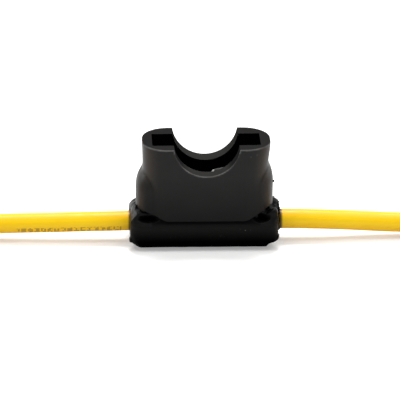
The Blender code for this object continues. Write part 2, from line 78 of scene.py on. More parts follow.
# %% Camera
CAMERA_AZIMUTH = math.radians(-2.72)
CAMERA_ELEVATION = math.radians(22.44)
CAMERA_ROLL = math.radians(0.58)
CAMERA_DISTANCE = 600 * MM
PIXELS_PER_MM = 5.396
IMAGE_SIZE = 400  # pixels
SENSOR_WIDTH = 36.0  # of the camera, in its own millimetres
NEAREST = 10 * MM  # what is nearer than this isn't drawn
LOOK_AT = Vector((0.0, 0.0, 10 * MM))
LOOK_AT_PIXEL = (205.4, 189.3)


def add_object(name, data):
    made = bpy.data.objects.new(name, data)
    bpy.context.scene.collection.objects.link(made)
    return made


def camera_axes():
    """The directions to the right, up and back towards the camera."""
    turn = CAMERA_AZIMUTH
    tilt = CAMERA_ELEVATION
    back = Vector((math.sin(turn) * math.cos(tilt), -math.cos(turn) * math.cos(tilt), math.sin(tilt)))
    right = Vector((math.cos(turn), math.sin(turn), 0.0))
    up = back.cross(right)
    rolled_right = right * math.cos(CAMERA_ROLL) + up * math.sin(CAMERA_ROLL)
    rolled_up = up * math.cos(CAMERA_ROLL) - right * math.sin(CAMERA_ROLL)
    return rolled_right, rolled_up, back


right, up, back = camera_axes()
across = (IMAGE_SIZE / 2 - LOOK_AT_PIXEL[0]) / PIXELS_PER_MM * MM
down = (LOOK_AT_PIXEL[1] - IMAGE_SIZE / 2) / PIXELS_PER_MM * MM
image_centre = LOOK_AT + right * across + up * down

camera_data = bpy.data.cameras.new("camera")
camera_data.sensor_width = SENSOR_WIDTH
camera_data.lens = PIXELS_PER_MM * CAMERA_DISTANCE / MM / IMAGE_SIZE * SENSOR_WIDTH
camera_data.clip_start = NEAREST
camera = add_object("camera", camera_data)
placed = Matrix((right, up, back)).transposed().to_4x4()
placed.translation = image_centre + back * CAMERA_DISTANCE
camera.matrix_world = placed
bpy.context.scene.camera = camera
bpy.context.scene.view_settings.view_transform = "Standard"  # colours come out as they are written
print("lens:", round(camera_data.lens, 1), "mm")

# %% [markdown]
# ## The leads
#
# Each lead is about 150 mm of soft primary wire, 3.6 mm across, and its last 8 mm are stripped. It
# leaves the boot straight, settles onto the surface just outside the picture and turns back beside
# itself in one fold that a tie holds. The route is a handful of points joined by a natural cubic
# spline, the same curve that a springy strip would take. Such a curve never turns more sharply than it
# has to, which is how a stiff wire lies.

# %% Route of the leads
LEAD_DIAMETER = 3.6 * MM
LEAD_STEP = 0.6 * MM  # between two points of the finished curve
STEPS_PER_POINT = 16
STRIPPED_LENGTH = 8.0 * MM
STRAND_GAP = 0.3 * MM  # between the end of the insulation and the first of the bare strands
BOOT_ENDS = {"left": -14.05 * MM, "right": 13.9 * MM}
WIRE_HEIGHT = 4.0 * MM

FOLD = [
    (58.0, -0.4, 2.9), (63.8, -1.1, 2.75), (69.3, -3.3, 2.35), (74.3, -6.1, 2.0), (79.4, -8.5, 1.85),
    (84.8, -9.5, 1.85), (90.2, -8.0, 1.85), (94.2, -4.0, 1.85), (95.6, 1.5, 1.85), (94.2, 7.0, 1.85),
    (90.2, 11.0, 1.85), (84.8, 12.5, 1.85), (79.4, 11.6, 1.85), (74.3, 9.4, 2.0), (69.3, 6.7, 2.35),
    (63.8, 4.6, 2.75), (58.0, 3.5, 2.9), (52.0, 3.8, 2.9),
]
ROUTES = {
    "right": [
        (11.2, 0.0, 4.0), (16.5, 0.0, 4.0), (22.0, 0.1, 3.78), (28.0, 0.45, 3.35), (34.0, 0.75, 2.88),
        (40.0, 0.75, 2.7), (46.0, 0.35, 2.8), (52.0, -0.15, 2.9), *FOLD,
    ],
    "left": [
        (11.2, 0.0, 4.0), (16.5, -0.15, 3.87), (22.0, -0.1, 3.77), (28.0, 0.0, 3.6), (34.0, 0.3, 3.4),
        (40.0, 0.4, 3.2), (46.0, 0.1, 3.05), (52.0, -0.3, 2.94), *FOLD,
    ],
}
SIDES = {"left": -1, "right": 1}


def spline_through(route, side):
    """Points on the natural cubic spline through a route, whose points are in millimetres."""
    places = np.array(route) * MM
    places[:, 0] *= side
    count = len(places)
    system = 4 * np.eye(count) + np.eye(count, k=1) + np.eye(count, k=-1)
    system[0] = np.eye(count)[0]
    system[-1] = np.eye(count)[-1]
    pull = np.zeros_like(places)
    pull[1:-1] = 6 * (places[2:] - 2 * places[1:-1] + places[:-2])
    bend = np.linalg.solve(system, pull)
    points = []
    for i in range(count - 1):
        for t in np.arange(0, 1, 1 / STEPS_PER_POINT):
            rest = 1 - t
            straight = rest * places[i] + t * places[i + 1]
            points.append(straight + ((rest ** 3 - rest) * bend[i] + (t ** 3 - t) * bend[i + 1]) / 6)
    points.append(places[-1])
    return np.array(points)


def evenly_spaced(points, step):
    """The same line with its points one step apart."""
    lengths = np.linalg.norm(np.diff(points, axis=0), axis=1)
    travelled = np.concatenate([[0.0], np.cumsum(lengths)])
    wanted = np.linspace(0.0, travelled[-1], round(travelled[-1] / step) + 1)
    return np.stack([np.interp(wanted, travelled, points[:, axis]) for axis in range(3)], axis=1)


lead_lines = {}
for word, side in SIDES.items():
    lead_lines[word] = evenly_spaced(spline_through(ROUTES[word], side), LEAD_STEP)
    lead_length = (len(lead_lines[word]) - 1) * LEAD_STEP
    print(word, "lead:", len(lead_lines[word]), "points,", round(lead_length / MM, 1), "mm of insulation")

# %% [markdown]
# ## Helpers for node trees
#
# Geometry and materials are both trees of nodes, so one small helper adds a node to either kind: it
# makes the node, sets its options, and links or fills its inputs. A tree of Geometry Nodes gets one
# named input for each size, and `grow` runs it on an object and keeps the result as a plain mesh.

# %% Node helpers


def add(tree, kind, inputs=(), **options):
    """A node with its options set, and each input linked to a socket or given a value."""
    made = tree.nodes.new(kind)
    for name, value in options.items():
        setattr(made, name, value)
    for key, value in dict(inputs).items():
        if isinstance(value, bpy.types.NodeSocket):
            tree.links.new(value, made.inputs[key])
        else:
            made.inputs[key].default_value = value
    return made


def math_node(tree, operation, first, second=0.0):
    return add(tree, "ShaderNodeMath", {0: first, 1: second}, operation=operation).outputs[0]


def product(tree, first, *others):
    """All of them multiplied together."""
    for other in others:
        first = math_node(tree, "MULTIPLY", first, other)
    return first


def largest(tree, first, *others):
    for other in others:
        first = math_node(tree, "MAXIMUM", first, other)
    return first


def geometry_tree(name, sizes):
    """An empty tree of Geometry Nodes, and its group input. Whole numbers become integer inputs."""
    tree = bpy.data.node_groups.new(name, "GeometryNodeTree")
    tree.interface.new_socket("Geometry", in_out="INPUT", socket_type="NodeSocketGeometry")
    tree.interface.new_socket("Geometry", in_out="OUTPUT", socket_type="NodeSocketGeometry")
    for label, value in sizes.items():
        kind = "NodeSocketInt" if isinstance(value, int) else "NodeSocketFloat"
        socket = tree.interface.new_socket(label, in_out="INPUT", socket_type=kind)
        socket.default_value = value
    return tree, tree.nodes.new("NodeGroupInput").outputs


def end_tree(tree, geometry, material):
    """Every tree ends alike: real geometry in place of instances, with its material."""
    real = add(tree, "GeometryNodeRealizeInstances", {"Geometry": geometry})
    painted = add(tree, "GeometryNodeSetMaterial", {"Geometry": real.outputs[0], "Material": material})
    add(tree, "NodeGroupOutput", {0: painted.outputs[0]})


def grow(name, start, tree, sizes):
    """Runs a tree on the data of an object, and returns the result as a plain mesh object."""
    carrier = add_object(name + "_carrier", start)
    modifier = carrier.modifiers.new("Grow", "NODES")
    modifier.node_group = tree
    labels = {item.name: item.identifier for item in tree.interface.items_tree if item.in_out == "INPUT"}
    for label, value in sizes.items():
        modifier[labels[label]] = value
    bpy.context.view_layer.update()
    graph = bpy.context.evaluated_depsgraph_get()
    mesh = bpy.data.meshes.new_from_object(
        carrier.evaluated_get(graph), preserve_all_data_layers=True, depsgraph=graph
    )
    carrier.modifiers.clear()
    bpy.data.objects.remove(carrier, do_unlink=True)
    return add_object(name, mesh)

# %% [markdown]
# ## Floor and light
#
# The holder lies on white paper that runs out of sight, under light from all round and above. For the
# camera the world is plain white and the paper is lifted to white, and so they are in what the plastic
# mirrors. Only the light that falls on the holder is held at a plain level, so that each colour comes
# out as it is written. The paper keeps the shadow. The lamp behind draws it forwards, as in the photo,
# and the two in front keep it soft.

# %% World, floor and lamps
FLOOR_SIZE = 3.0  # metres
WHITE = (1.0, 1.0, 1.0, 1.0)
WORLD_COLOUR = (1.0, 0.995, 0.985, 1.0)
WORLD_LEVEL = 0.36
FLOOR_COLOUR = (0.71, 0.708, 0.704, 1.0)
FLOOR_LIFT = 0.29  # what the white paper adds for the camera, on top of the light on it


def seen_directly(tree):
    """1 for what the camera sees, also in a mirror or through glass, and 0 for light on a surface."""
    path = add(tree, "ShaderNodeLightPath").outputs
    return largest(tree, path["Is Camera Ray"], path["Is Glossy Ray"], path["Is Transmission Ray"])


world = bpy.data.worlds.new("studio")
bpy.context.scene.world = world
world.use_nodes = True
tree = world.node_tree
tree.nodes.clear()
dim = add(tree, "ShaderNodeBackground", {"Color": WORLD_COLOUR, "Strength": WORLD_LEVEL})
white = add(tree, "ShaderNodeBackground", {"Color": WHITE, "Strength": 1.0})
mixed = add(tree, "ShaderNodeMixShader", {0: seen_directly(tree), 1: dim.outputs[0], 2: white.outputs[0]})
add(tree, "ShaderNodeOutputWorld", {"Surface": mixed.outputs[0]})

paper = bpy.data.materials.new("white_paper")
paper.use_nodes = True
tree = paper.node_tree
tree.nodes.clear()
lit = add(tree, "ShaderNodeBsdfDiffuse", {"Color": FLOOR_COLOUR})
lift = product(tree, seen_directly(tree), FLOOR_LIFT)
glow = add(tree, "ShaderNodeEmission", {"Strength": lift})
both = add(tree, "ShaderNodeAddShader", {0: lit.outputs[0], 1: glow.outputs[0]})
add(tree, "ShaderNodeOutputMaterial", {"Surface": both.outputs[0]})

floor_mesh = bpy.data.meshes.new("floor")
reach = FLOOR_SIZE / 2
corners = [(-reach, -reach, 0), (reach, -reach, 0), (reach, reach, 0), (-reach, reach, 0)]
floor_mesh.from_pydata(corners, [], [(0, 1, 2, 3)])
floor_mesh.materials.append(paper)
floor = add_object("floor", floor_mesh)
floor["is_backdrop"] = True

# %% Lamps
LAMPS = {  # place and width in metres, and power in watts
    "key_lamp": ((-0.42, -0.14, 0.90), 0.40, 3.0),
    "fill_lamp": ((0.42, -0.14, 0.90), 0.40, 3.0),
    "top_lamp": ((0.03, 0.33, 0.88), 0.34, 8.6),
    "left_lamp": ((-0.8, 0.45, 0.22), 0.4, 5.0),
    "right_lamp": ((0.8, 0.45, 0.22), 0.4, 5.0),
}

for name, (place, width, power) in LAMPS.items():
    data = bpy.data.lights.new(name, "AREA")
    data.size = width
    data.energy = power
    lamp = add_object(name, data)
    lamp.location = place
    lamp.rotation_mode = "QUATERNION"
    lamp.rotation_quaternion = (LOOK_AT - Vector(place)).to_track_quat("-Z", "Y")
print("floor, world and", len(LAMPS), "square lamps aimed at the holder")

# %% [markdown]
# ## Finishes
#
# Six finishes, each its own node tree on Object coordinates, in metres. Black plastic shows almost
# nothing but its gloss, so its roughness and its bump carry the look: a fine moulded grain, a few
# fingerprints and dull scuffs. Image textures could do the same, but noise needs no unwrapping and
# stays sharp at any distance.

# %% Material helpers
MIDDLING = (0.3, 0.7)  # most of what a noise gives lies between these


def new_material(name, roughness, **constants):
    """A material with one Principled shader. Constants are set on the shader's own sockets."""
    material = bpy.data.materials.new(name)
    material.use_nodes = True
    tree = material.node_tree
    tree.nodes.clear()
    shader = add(tree, "ShaderNodeBsdfPrincipled", {"Roughness": roughness})
    for label, value in constants.items():
        shader.inputs[label.replace("_", " ")].default_value = value
    add(tree, "ShaderNodeOutputMaterial", {"Surface": shader.outputs[0]})
    place = add(tree, "ShaderNodeTexCoord").outputs["Object"]
    return material, tree, shader, place


def feed(tree, shader, **sockets):
    """Links outputs to the shader's sockets by their names."""
    for label, output in sockets.items():
        tree.links.new(output, shader.inputs[label.replace("_", " ")])


def grain(tree, place, per_mm, detail=3.0, roughness=0.55):
    """Soft noise with that many lumps to the millimetre, from 0 to 1."""
    return add(tree, "ShaderNodeTexNoise", {
        "Vector": place, "Scale": per_mm / MM, "Detail": detail, "Roughness": roughness,
    }).outputs["Fac"]


def spread(tree, value, source, target=(0.0, 1.0)):
    """Carries one range of values over to another, and stops at its ends."""
    return add(tree, "ShaderNodeMapRange", {
        "Value": value, "From Min": source[0], "From Max": source[1],
        "To Min": target[0], "To Max": target[1],
    }).outputs[0]


def blend(tree, share, first, second):
    """Mixes two colours by a share."""
    return add(tree, "ShaderNodeMix", {0: share, 6: first, 7: second}, data_type="RGBA").outputs[2]


def layered(tree, colour, layers):
    """A colour with others laid over it in turn, each by its own share."""
    for share, tint in layers:
        colour = blend(tree, share, colour, tint)
    return colour


def bump(tree, height, depth):
    """Relief of that depth in metres."""
    return add(tree, "ShaderNodeBump", {"Height": height, "Distance": depth, "Strength": 1.0}).outputs[0]


def parts(tree, vector):
    """The X, Y and Z of a vector."""
    return add(tree, "ShaderNodeSeparateXYZ", {0: vector}).outputs


def out_along_x(tree, place):
    return math_node(tree, "ABSOLUTE", parts(tree, place)["X"])


def surface_normal(tree):
    return add(tree, "ShaderNodeNewGeometry").outputs["Normal"]


def kept_value(tree, name):
    """What the mesh keeps under that name."""
    return add(tree, "ShaderNodeAttribute", attribute_name=name).outputs["Fac"]


# %% [markdown]
# ### One black for three pieces
#
# The housing, the boot and the ties are all black, and differ in depth and gloss. So they share one
# function: painted shade that deepens the black towards the foot, painted light on the two ends,
# patches that are a little duller, pale scuffs, and a few specks of dust.

# %% Shared black
# painted light: the ends of each piece are painted lighter, as if higher up
BLACK_ENDS = (12.4 * MM, 13.6 * MM)  # out along x, where a piece counts as partly higher up
END_PAINTED_LIGHT = 0.6
PATCHES_PER_MM = 0.22
TONE_CHANGE = 0.12
DULLING = 0.07
SCUFFS_PER_MM = 1.1
SCUFF_NOISE = (0.62, 0.78)
SCUFF_STRENGTH = 0.35
SCUFF_GREY = (0.05, 0.048, 0.046, 1)
MOULDED_GRAIN_PER_MM = 5.0
SPECKS = [  # in millimetres: place, how wide, and how pale
    ((7.15, -6.0, 4.25), 0.16, 0.9),
    ((6.2, -6.0, 4.5), 0.10, 0.4),
    ((8.1, -6.0, 4.3), 0.10, 0.4),
    ((8.02, -5.7, 18.6), 0.22, 0.35),
    ((9.15, -5.2, 18.8), 0.24, 0.35),
]
SPECK_AXES = Vector((1.0, 0.2, 1.0))  # a speck reaches far into the depth, so it always meets the surface


def painted_light_and_shade_share(tree, place, heights):
    """Painted shade and light: 0 up to one height on the piece and 1 from another. Its two ends count as
    partly higher up, so they are painted lighter.
    """
    rise = spread(tree, parts(tree, place)["Z"], heights)
    return largest(tree, rise, spread(tree, out_along_x(tree, place), BLACK_ENDS, (0.0, END_PAINTED_LIGHT)))


def specks(tree, place):
    """The few pale specks, as one share."""
    flat = add(tree, "ShaderNodeVectorMath", {0: place, 1: SPECK_AXES}, operation="MULTIPLY").outputs[0]
    spots = []
    for middle, width, paleness in SPECKS:
        here = Vector(middle) * MM * SPECK_AXES
        away = add(tree, "ShaderNodeVectorMath", {0: flat, 1: here}, operation="DISTANCE").outputs["Value"]
        spots.append(spread(tree, away, (0.5 * width * MM, width * MM), (paleness, 0.0)))
    return largest(tree, *spots)


def black_finish(name, low, high, heights, gloss, roughness, depth):
    """A black finish from its colours and gloss low down and high up, and the heights where they change.

    Depth is that of its grain.
    """
    material, tree, shader, place = new_material(name, roughness)
    # painted shade and light: colour and gloss go darker towards the foot and lighter on the ends
    rise = painted_light_and_shade_share(tree, place, heights)
    patches = grain(tree, place, PATCHES_PER_MM, 4.0)
    tone = math_node(tree, "ADD", rise, spread(tree, patches, MIDDLING, (-TONE_CHANGE, TONE_CHANGE)))
    scuffs = grain(tree, place, SCUFFS_PER_MM, 8.0, 0.75)
    scuffs = largest(tree, spread(tree, scuffs, SCUFF_NOISE, (0.0, SCUFF_STRENGTH)), specks(tree, place))
    colour = blend(tree, scuffs, blend(tree, tone, low, high), SCUFF_GREY)
    shine = spread(tree, rise, (0.0, 1.0), gloss)
    feed(
        tree, shader, Base_Color=colour, Specular_IOR_Level=shine,
        Roughness=spread(tree, patches, MIDDLING, (roughness - DULLING, roughness + DULLING)),
        Normal=bump(tree, grain(tree, place, MOULDED_GRAIN_PER_MM, 2.0), depth),
    )
    return material, tree, shader, place, colour, shine


def dulled(tree, shine, matt):
    """The gloss that is left where a share of the surface is matt."""
    return product(tree, shine, math_node(tree, "SUBTRACT", 1.0, matt))


# %% [markdown]
# ### Worn plastic, with painted light and shade
#
# A black moulding is read from its edges. Handling has worn them pale, and a painted highlight lies
# along them too. Painted warm light lies on the flanks, and painted shade keeps the slot black, where no
# light gets in. The mesh will keep the values "edge", "cut" and "crease" that say where an edge is,
# which faces the scallop's cutter made, and where a lug meets the upright. The finish only has to read
# them, which is simpler than finding the edges again inside the material.

# %% Housing finish
# painted shade: the housing's colour at its foot, then its colour higher up
HOUSING_PAINTED_SHADE = (0.0030, 0.0029, 0.0028, 1)
HOUSING_BLACK = (0.0146, 0.0141, 0.0139, 1)
# painted light: a warm brown on the surfaces that face sideways
FLANK_PAINTED_LIGHT = (0.034, 0.027, 0.022, 1)
CUT_GREY = (0.020, 0.020, 0.019, 1)
CUT_SHADE = (0.010, 0.010, 0.010, 1)
CREASE_SHADE = (0.006, 0.0045, 0.0035, 1)
DOME_SHADE = (0.016, 0.014, 0.012, 1)
WORN_AND_HIGHLIGHT_GREY = (0.11, 0.108, 0.106, 1)
FLASH_HIGHLIGHT_GREY = (0.42, 0.415, 0.40, 1)
SLOT_PAINTED_SHADE = (0.0005, 0.0005, 0.0005, 1)
HOUSING_ROUGHNESS = 0.42
SLOT_REACH = (9.97 * MM, 2.95 * MM)  # from its middle, in x and in y
SLOT_SHIFT = 0.17 * MM  # how far its middle is in front of the holder's
HOUSING_TONE_HEIGHTS = (3.0 * MM, 15.0 * MM)
HOUSING_GLOSS = (0.05, 0.10)  # low down and high up
HOUSING_GRAIN_DEPTH = 0.012 * MM
FLANK_TURN = (0.4, 0.72)  # how far sideways a surface faces where the flanks' tint comes in
FLANK_STRENGTH = 0.5
END_TURN = (0.8, 0.97)  # and where most of it goes again, on the very ends
END_REMAINS = 0.2
LUG_DOME_OUT = (11.2 * MM, 11.9 * MM)  # along x
LUG_DOME_HEIGHTS = (16.2 * MM, 17.4 * MM)
LUG_DOME_TURN = (0.04, 0.34)  # how far up it faces
LUG_DOME_STRENGTH = 0.55
RIM_TURN = (0.6, 0.8)  # what faces further up than this is matt
CREASE_STRENGTH = 0.8
CUT_SHADE_OUT = (3.4 * MM, 4.6 * MM)  # along x
# the pale front edges are partly wear and partly painted highlight
WEAR_DEPTHS = (-3.0 * MM, 0.0)  # in y, from the front, which is worn most, to the middle
WEAR_BEHIND = 0.2
WEAR_PER_MM = 0.8
WEAR_NOISE = (0.35, 0.65)
WEAR_LEAST = 0.5
# painted highlight: the torn end of the flash is painted pale
TORN_EDGE = (1.2, 2.0)  # values of "edge" that only the torn end of the flash has


def inside_slot(tree, axes):
    """1 in the fuse's slot and 0 outside, by how near the middle a point is in x and y."""
    out = math_node(tree, "ABSOLUTE", axes["X"])
    from_middle = math_node(tree, "ABSOLUTE", math_node(tree, "ADD", axes["Y"], SLOT_SHIFT))
    return product(
        tree, math_node(tree, "LESS_THAN", out, SLOT_REACH[0]),
        math_node(tree, "LESS_THAN", from_middle, SLOT_REACH[1]),
    )


def painted_flank_light(tree, facing):
    """How much painted warm light shows on the flanks, by how far sideways a surface faces. It fades on the
    very ends.
    """
    sideways = math_node(tree, "ABSOLUTE", facing["X"])
    rise = spread(tree, sideways, FLANK_TURN, (0.0, FLANK_STRENGTH))
    return product(tree, rise, spread(tree, sideways, END_TURN, (1.0, END_REMAINS)))


def painted_dome_shade(tree, out, axes, facing):
    """How much painted shade, and how much dullness, lies on the upper shoulders of the lugs."""
    return product(
        tree, spread(tree, out, LUG_DOME_OUT), spread(tree, axes["Z"], LUG_DOME_HEIGHTS, (1.0, 0.0)),
        spread(tree, facing["Z"], LUG_DOME_TURN, (0.0, LUG_DOME_STRENGTH)),
    )


def worn_housing_with_painted_light():
    """The moulding's finish: front edges pale from wear and painted highlight, painted warm light on the
    flanks, a matt rim, and painted shade in the slot, the creases and on the lugs' shoulders.
    """
    material, tree, shader, place, colour, shine = black_finish(
        "housing_plastic", HOUSING_PAINTED_SHADE, HOUSING_BLACK, HOUSING_TONE_HEIGHTS, HOUSING_GLOSS,
        HOUSING_ROUGHNESS, HOUSING_GRAIN_DEPTH,
    )
    facing = parts(tree, surface_normal(tree))
    axes = parts(tree, place)
    out = math_node(tree, "ABSOLUTE", axes["X"])
    forward = spread(tree, axes["Y"], WEAR_DEPTHS, (1.0, WEAR_BEHIND))
    edge, cut = kept_value(tree, "edge"), kept_value(tree, "cut")
    crease = product(tree, kept_value(tree, "crease"), CREASE_STRENGTH)
    dome = painted_dome_shade(tree, out, axes, facing)
    inside = inside_slot(tree, axes)
    uneven = spread(tree, grain(tree, place, WEAR_PER_MM, 5.0, 0.7), WEAR_NOISE, (WEAR_LEAST, 1.0))
    colour = layered(tree, colour, [
        # painted warm light on the flanks
        (painted_flank_light(tree, facing), FLANK_PAINTED_LIGHT),
        (cut, CUT_GREY),
        (product(tree, cut, forward, spread(tree, out, CUT_SHADE_OUT)), CUT_SHADE),
        (crease, CREASE_SHADE),
        (dome, DOME_SHADE),
        # pale edges: wear and painted highlight
        (product(tree, edge, forward, uneven), WORN_AND_HIGHLIGHT_GREY),
        # painted highlight on the flash's torn end
        (spread(tree, edge, TORN_EDGE), FLASH_HIGHLIGHT_GREY),
        # painted shade: the slot is painted near black, where no light gets in
        (inside, SLOT_PAINTED_SHADE),
    ])
    matt = largest(tree, spread(tree, facing["Z"], RIM_TURN), cut, inside, dome, crease)
    feed(tree, shader, Base_Color=colour, Specular_IOR_Level=dulled(tree, shine, matt))
    return material


housing_plastic = worn_housing_with_painted_light()

# %% [markdown]
# ### Rubber
#
# The boot is the same black, softer and deeper. Where its lip stands off the housing no light gets in,
# and the mesh will keep a value for those places, where the finish paints black shade.

# %% Boot finish
# painted shade: the rubber's colour at its foot and in its hollows, then its colour higher up
RUBBER_PAINTED_SHADE = (0.0003, 0.0003, 0.0003, 1)
RUBBER_BLACK = (0.0044, 0.0043, 0.0041, 1)
RUBBER_ROUGHNESS = 0.36
RUBBER_TONE_HEIGHTS = (2.0 * MM, 4.9 * MM)
RUBBER_GLOSS = (0.0, 0.06)
RUBBER_GRAIN_DEPTH = 0.02 * MM


def boot_with_painted_shade():
    """The boot's finish: painted shade, black and matt, in its hollows and on the torn collar, and softly
    shining elsewhere.
    """
    material, tree, shader, _, colour, shine = black_finish(
        "boot_rubber", RUBBER_PAINTED_SHADE, RUBBER_BLACK, RUBBER_TONE_HEIGHTS, RUBBER_GLOSS,
        RUBBER_ROUGHNESS, RUBBER_GRAIN_DEPTH,
    )
    hollow_shade = kept_value(tree, "hollow_shade")
    feed(
        tree, shader, Base_Color=blend(tree, hollow_shade, colour, RUBBER_PAINTED_SHADE),
        Specular_IOR_Level=dulled(tree, shine, hollow_shade),
    )
    return material


boot_rubber = boot_with_painted_shade()

# %% [markdown]
# ### Yellow insulation
#
# Soft PVC is even in colour, so its yellow moves only a little: a painted deeper yellow above, under the
# highlight, painted shade below, a trace of grime, and a painted shadow ring where it leaves the boot. A
# row of ink marks runs along the left lead. They are plain bars, switched on and off by a fixed random
# value for each cell of a grid.

# %% Insulation finish
PRINT_ENDS = (-35.0 * MM, -15.6 * MM)  # along x, on the left lead
PRINT_BAND = (-0.72, -0.20)  # heights of the surface's normal, so it runs along the lower front
MARK_PITCH = 1.22 * MM
MARK_SHARE = 0.78  # of the pitch, which leaves a gap between two blocks
BARS_PER_MARK = 4.0
BAR_ROWS = 3.6  # to one unit of the normal's height
BARS_LEFT_OUT = 0.38
INK_STRENGTH = 0.6
YELLOW_DEEP = (0.96, 0.585, 0.003, 1)
YELLOW_LIGHT = (0.97, 0.635, 0.005, 1)
# painted light and shade: a deeper yellow where the surface faces up, and a darker one where it faces down
YELLOW_PAINTED_ABOVE = (0.92, 0.44, 0.006, 1)
YELLOW_PAINTED_SHADE_BELOW = (0.70, 0.36, 0.003, 1)
GRIME_BROWN = (0.55, 0.32, 0.02, 1)
EXIT_PAINTED_SHADOW = (0.04, 0.02, 0.0, 1)
INK_BROWN = (0.16, 0.09, 0.005, 1)
INSULATION_GLOSS = 0.22
INSULATION_ROUGHNESS = (0.32, 0.46)
TONE_PER_MM = 0.12
ABOVE_TURN = (0.45, 0.9)  # how far up a surface faces
ABOVE_STRENGTH = 0.85
BELOW_TURN = (-0.8, 0.1)
BELOW_STRENGTH = 0.75
GRIME_PER_MM = 0.7
GRIME_NOISE = (0.60, 0.80)
GRIME_STRENGTH = 0.25
# painted shadow: the insulation is painted dark where it goes into the boot
EXIT_RING = (14.05 * MM, 14.45 * MM)  # out along x
EXIT_STRENGTH = 0.97


def between(tree, value, low, high):
    above = math_node(tree, "GREATER_THAN", value, low)
    return product(tree, above, math_node(tree, "LESS_THAN", value, high))


def chance(tree, number, row):
    """A fixed random value for each whole number and row."""
    spot = add(tree, "ShaderNodeCombineXYZ", {"X": number, "Y": row}).outputs[0]
    return add(tree, "ShaderNodeTexWhiteNoise", {"Vector": spot}, noise_dimensions="2D").outputs["Value"]


def printed_bars(tree, place, facing):
    """1 on a row of plain blocks of short bars, such as the ink marks on a lead look like from afar."""
    x = parts(tree, place)["X"]
    step = math_node(tree, "DIVIDE", x, MARK_PITCH)
    along = math_node(tree, "FRACT", math_node(tree, "ADD", step, 100.0))  # 100 keeps it above zero
    column = math_node(tree, "FLOOR", product(tree, step, BARS_PER_MARK))
    row = math_node(tree, "FLOOR", product(tree, facing["Z"], BAR_ROWS))
    return product(
        tree,
        math_node(tree, "LESS_THAN", along, MARK_SHARE),
        math_node(tree, "GREATER_THAN", chance(tree, column, row), BARS_LEFT_OUT),
        between(tree, x, *PRINT_ENDS),
        between(tree, facing["Z"], *PRINT_BAND),
        math_node(tree, "LESS_THAN", facing["Y"], 0.0),
    )


def insulation(name):
    """Soft yellow PVC with slow changes of tone, painted light above and painted shade below and at the boot,
    a trace of grime, and faint ink on the left lead.
    """
    material, tree, shader, place = new_material(name, 0.36, Specular_IOR_Level=INSULATION_GLOSS)
    facing = parts(tree, surface_normal(tree))
    tone = spread(tree, grain(tree, place, TONE_PER_MM, 3.0), MIDDLING)
    grime = grain(tree, place, GRIME_PER_MM, 8.0, 0.7)
    colour = layered(tree, blend(tree, tone, YELLOW_DEEP, YELLOW_LIGHT), [
        (spread(tree, facing["Z"], ABOVE_TURN, (0.0, ABOVE_STRENGTH)), YELLOW_PAINTED_ABOVE),
        (spread(tree, facing["Z"], BELOW_TURN, (BELOW_STRENGTH, 0.0)), YELLOW_PAINTED_SHADE_BELOW),
        (spread(tree, grime, GRIME_NOISE, (0.0, GRIME_STRENGTH)), GRIME_BROWN),
        (spread(tree, out_along_x(tree, place), EXIT_RING, (EXIT_STRENGTH, 0.0)), EXIT_PAINTED_SHADOW),
        (product(tree, printed_bars(tree, place, facing), INK_STRENGTH), INK_BROWN),
    ])
    feed(
        tree, shader, Base_Color=colour,
        Roughness=spread(tree, grain(tree, place, 0.4), MIDDLING, INSULATION_ROUGHNESS),
        Normal=bump(tree, grain(tree, place, 2.0, 2.0), 0.008 * MM),
    )
    return material


lead_yellow = insulation("lead_insulation")

# %% [markdown]
# ### Copper, tinned brass and nylon
#
# Both metals are one function with two colours each: clean, and stained where the noise is high. Stains
# are also rougher, which is what tells them from paint. The ties take the shared black, with more
# gloss.

# %% Metals and nylon
STAINS_PER_MM = 0.9
STAIN_NOISE = (0.45, 0.75)
STAIN_ROUGHNESS = 0.2  # more than the clean metal has
COPPER = (0.86, 0.42, 0.25, 1)
COPPER_STAINED = (0.48, 0.20, 0.10, 1)
COPPER_ROUGHNESS = 0.24
BRASS = (0.74, 0.70, 0.60, 1)
BRASS_STAINED = (0.45, 0.40, 0.30, 1)
BRASS_ROUGHNESS = 0.30
METAL_GRAIN_PER_MM = 6.0
METAL_GRAIN_DEPTH = 0.005 * MM
# painted shade: the nylon's colour at its foot, then its colour higher up
NYLON_PAINTED_SHADE = (0.012, 0.012, 0.012, 1)
NYLON_BLACK = (0.020, 0.020, 0.020, 1)
NYLON_ROUGHNESS = 0.42
NYLON_TONE_HEIGHTS = (0.0, 5.0 * MM)
NYLON_GLOSS = (0.3, 0.4)
NYLON_GRAIN_DEPTH = 0.006 * MM


def metal(name, colour, stained, roughness):
    """Metal with darker stains that are also rougher."""
    material, tree, shader, place = new_material(name, roughness, Metallic=1.0)
    stains = spread(tree, grain(tree, place, STAINS_PER_MM, 6.0, 0.65), STAIN_NOISE)
    feed(
        tree, shader, Base_Color=blend(tree, stains, colour, stained),
        Roughness=spread(tree, stains, (0.0, 1.0), (roughness, roughness + STAIN_ROUGHNESS)),
        Normal=bump(tree, grain(tree, place, METAL_GRAIN_PER_MM, 2.0), METAL_GRAIN_DEPTH),
    )
    return material


strand_copper = metal("strand_copper", COPPER, COPPER_STAINED, COPPER_ROUGHNESS)
contact_brass = metal("contact_brass", BRASS, BRASS_STAINED, BRASS_ROUGHNESS)
tie_nylon = black_finish(
    "tie_nylon", NYLON_PAINTED_SHADE, NYLON_BLACK, NYLON_TONE_HEIGHTS, NYLON_GLOSS, NYLON_ROUGHNESS,
    NYLON_GRAIN_DEPTH,
)[0]
print("materials:", ", ".join(m.name for m in bpy.data.materials if m.use_nodes))

# %% [markdown]
# ## Insulation along its route
#
# The insulation is one round section carried along the route, which is what Curve to Mesh does. The
# section's own upright is kept, so that the tube doesn't twist where the lead folds. A curve's bevel
# could make the same tube, but the tree closes its two ends and gives it its material in one go.

# %% Tube tree
TUBE_SIDES = 40
INSULATION_RADIUS = 1.84 * MM  # a little over the nominal size


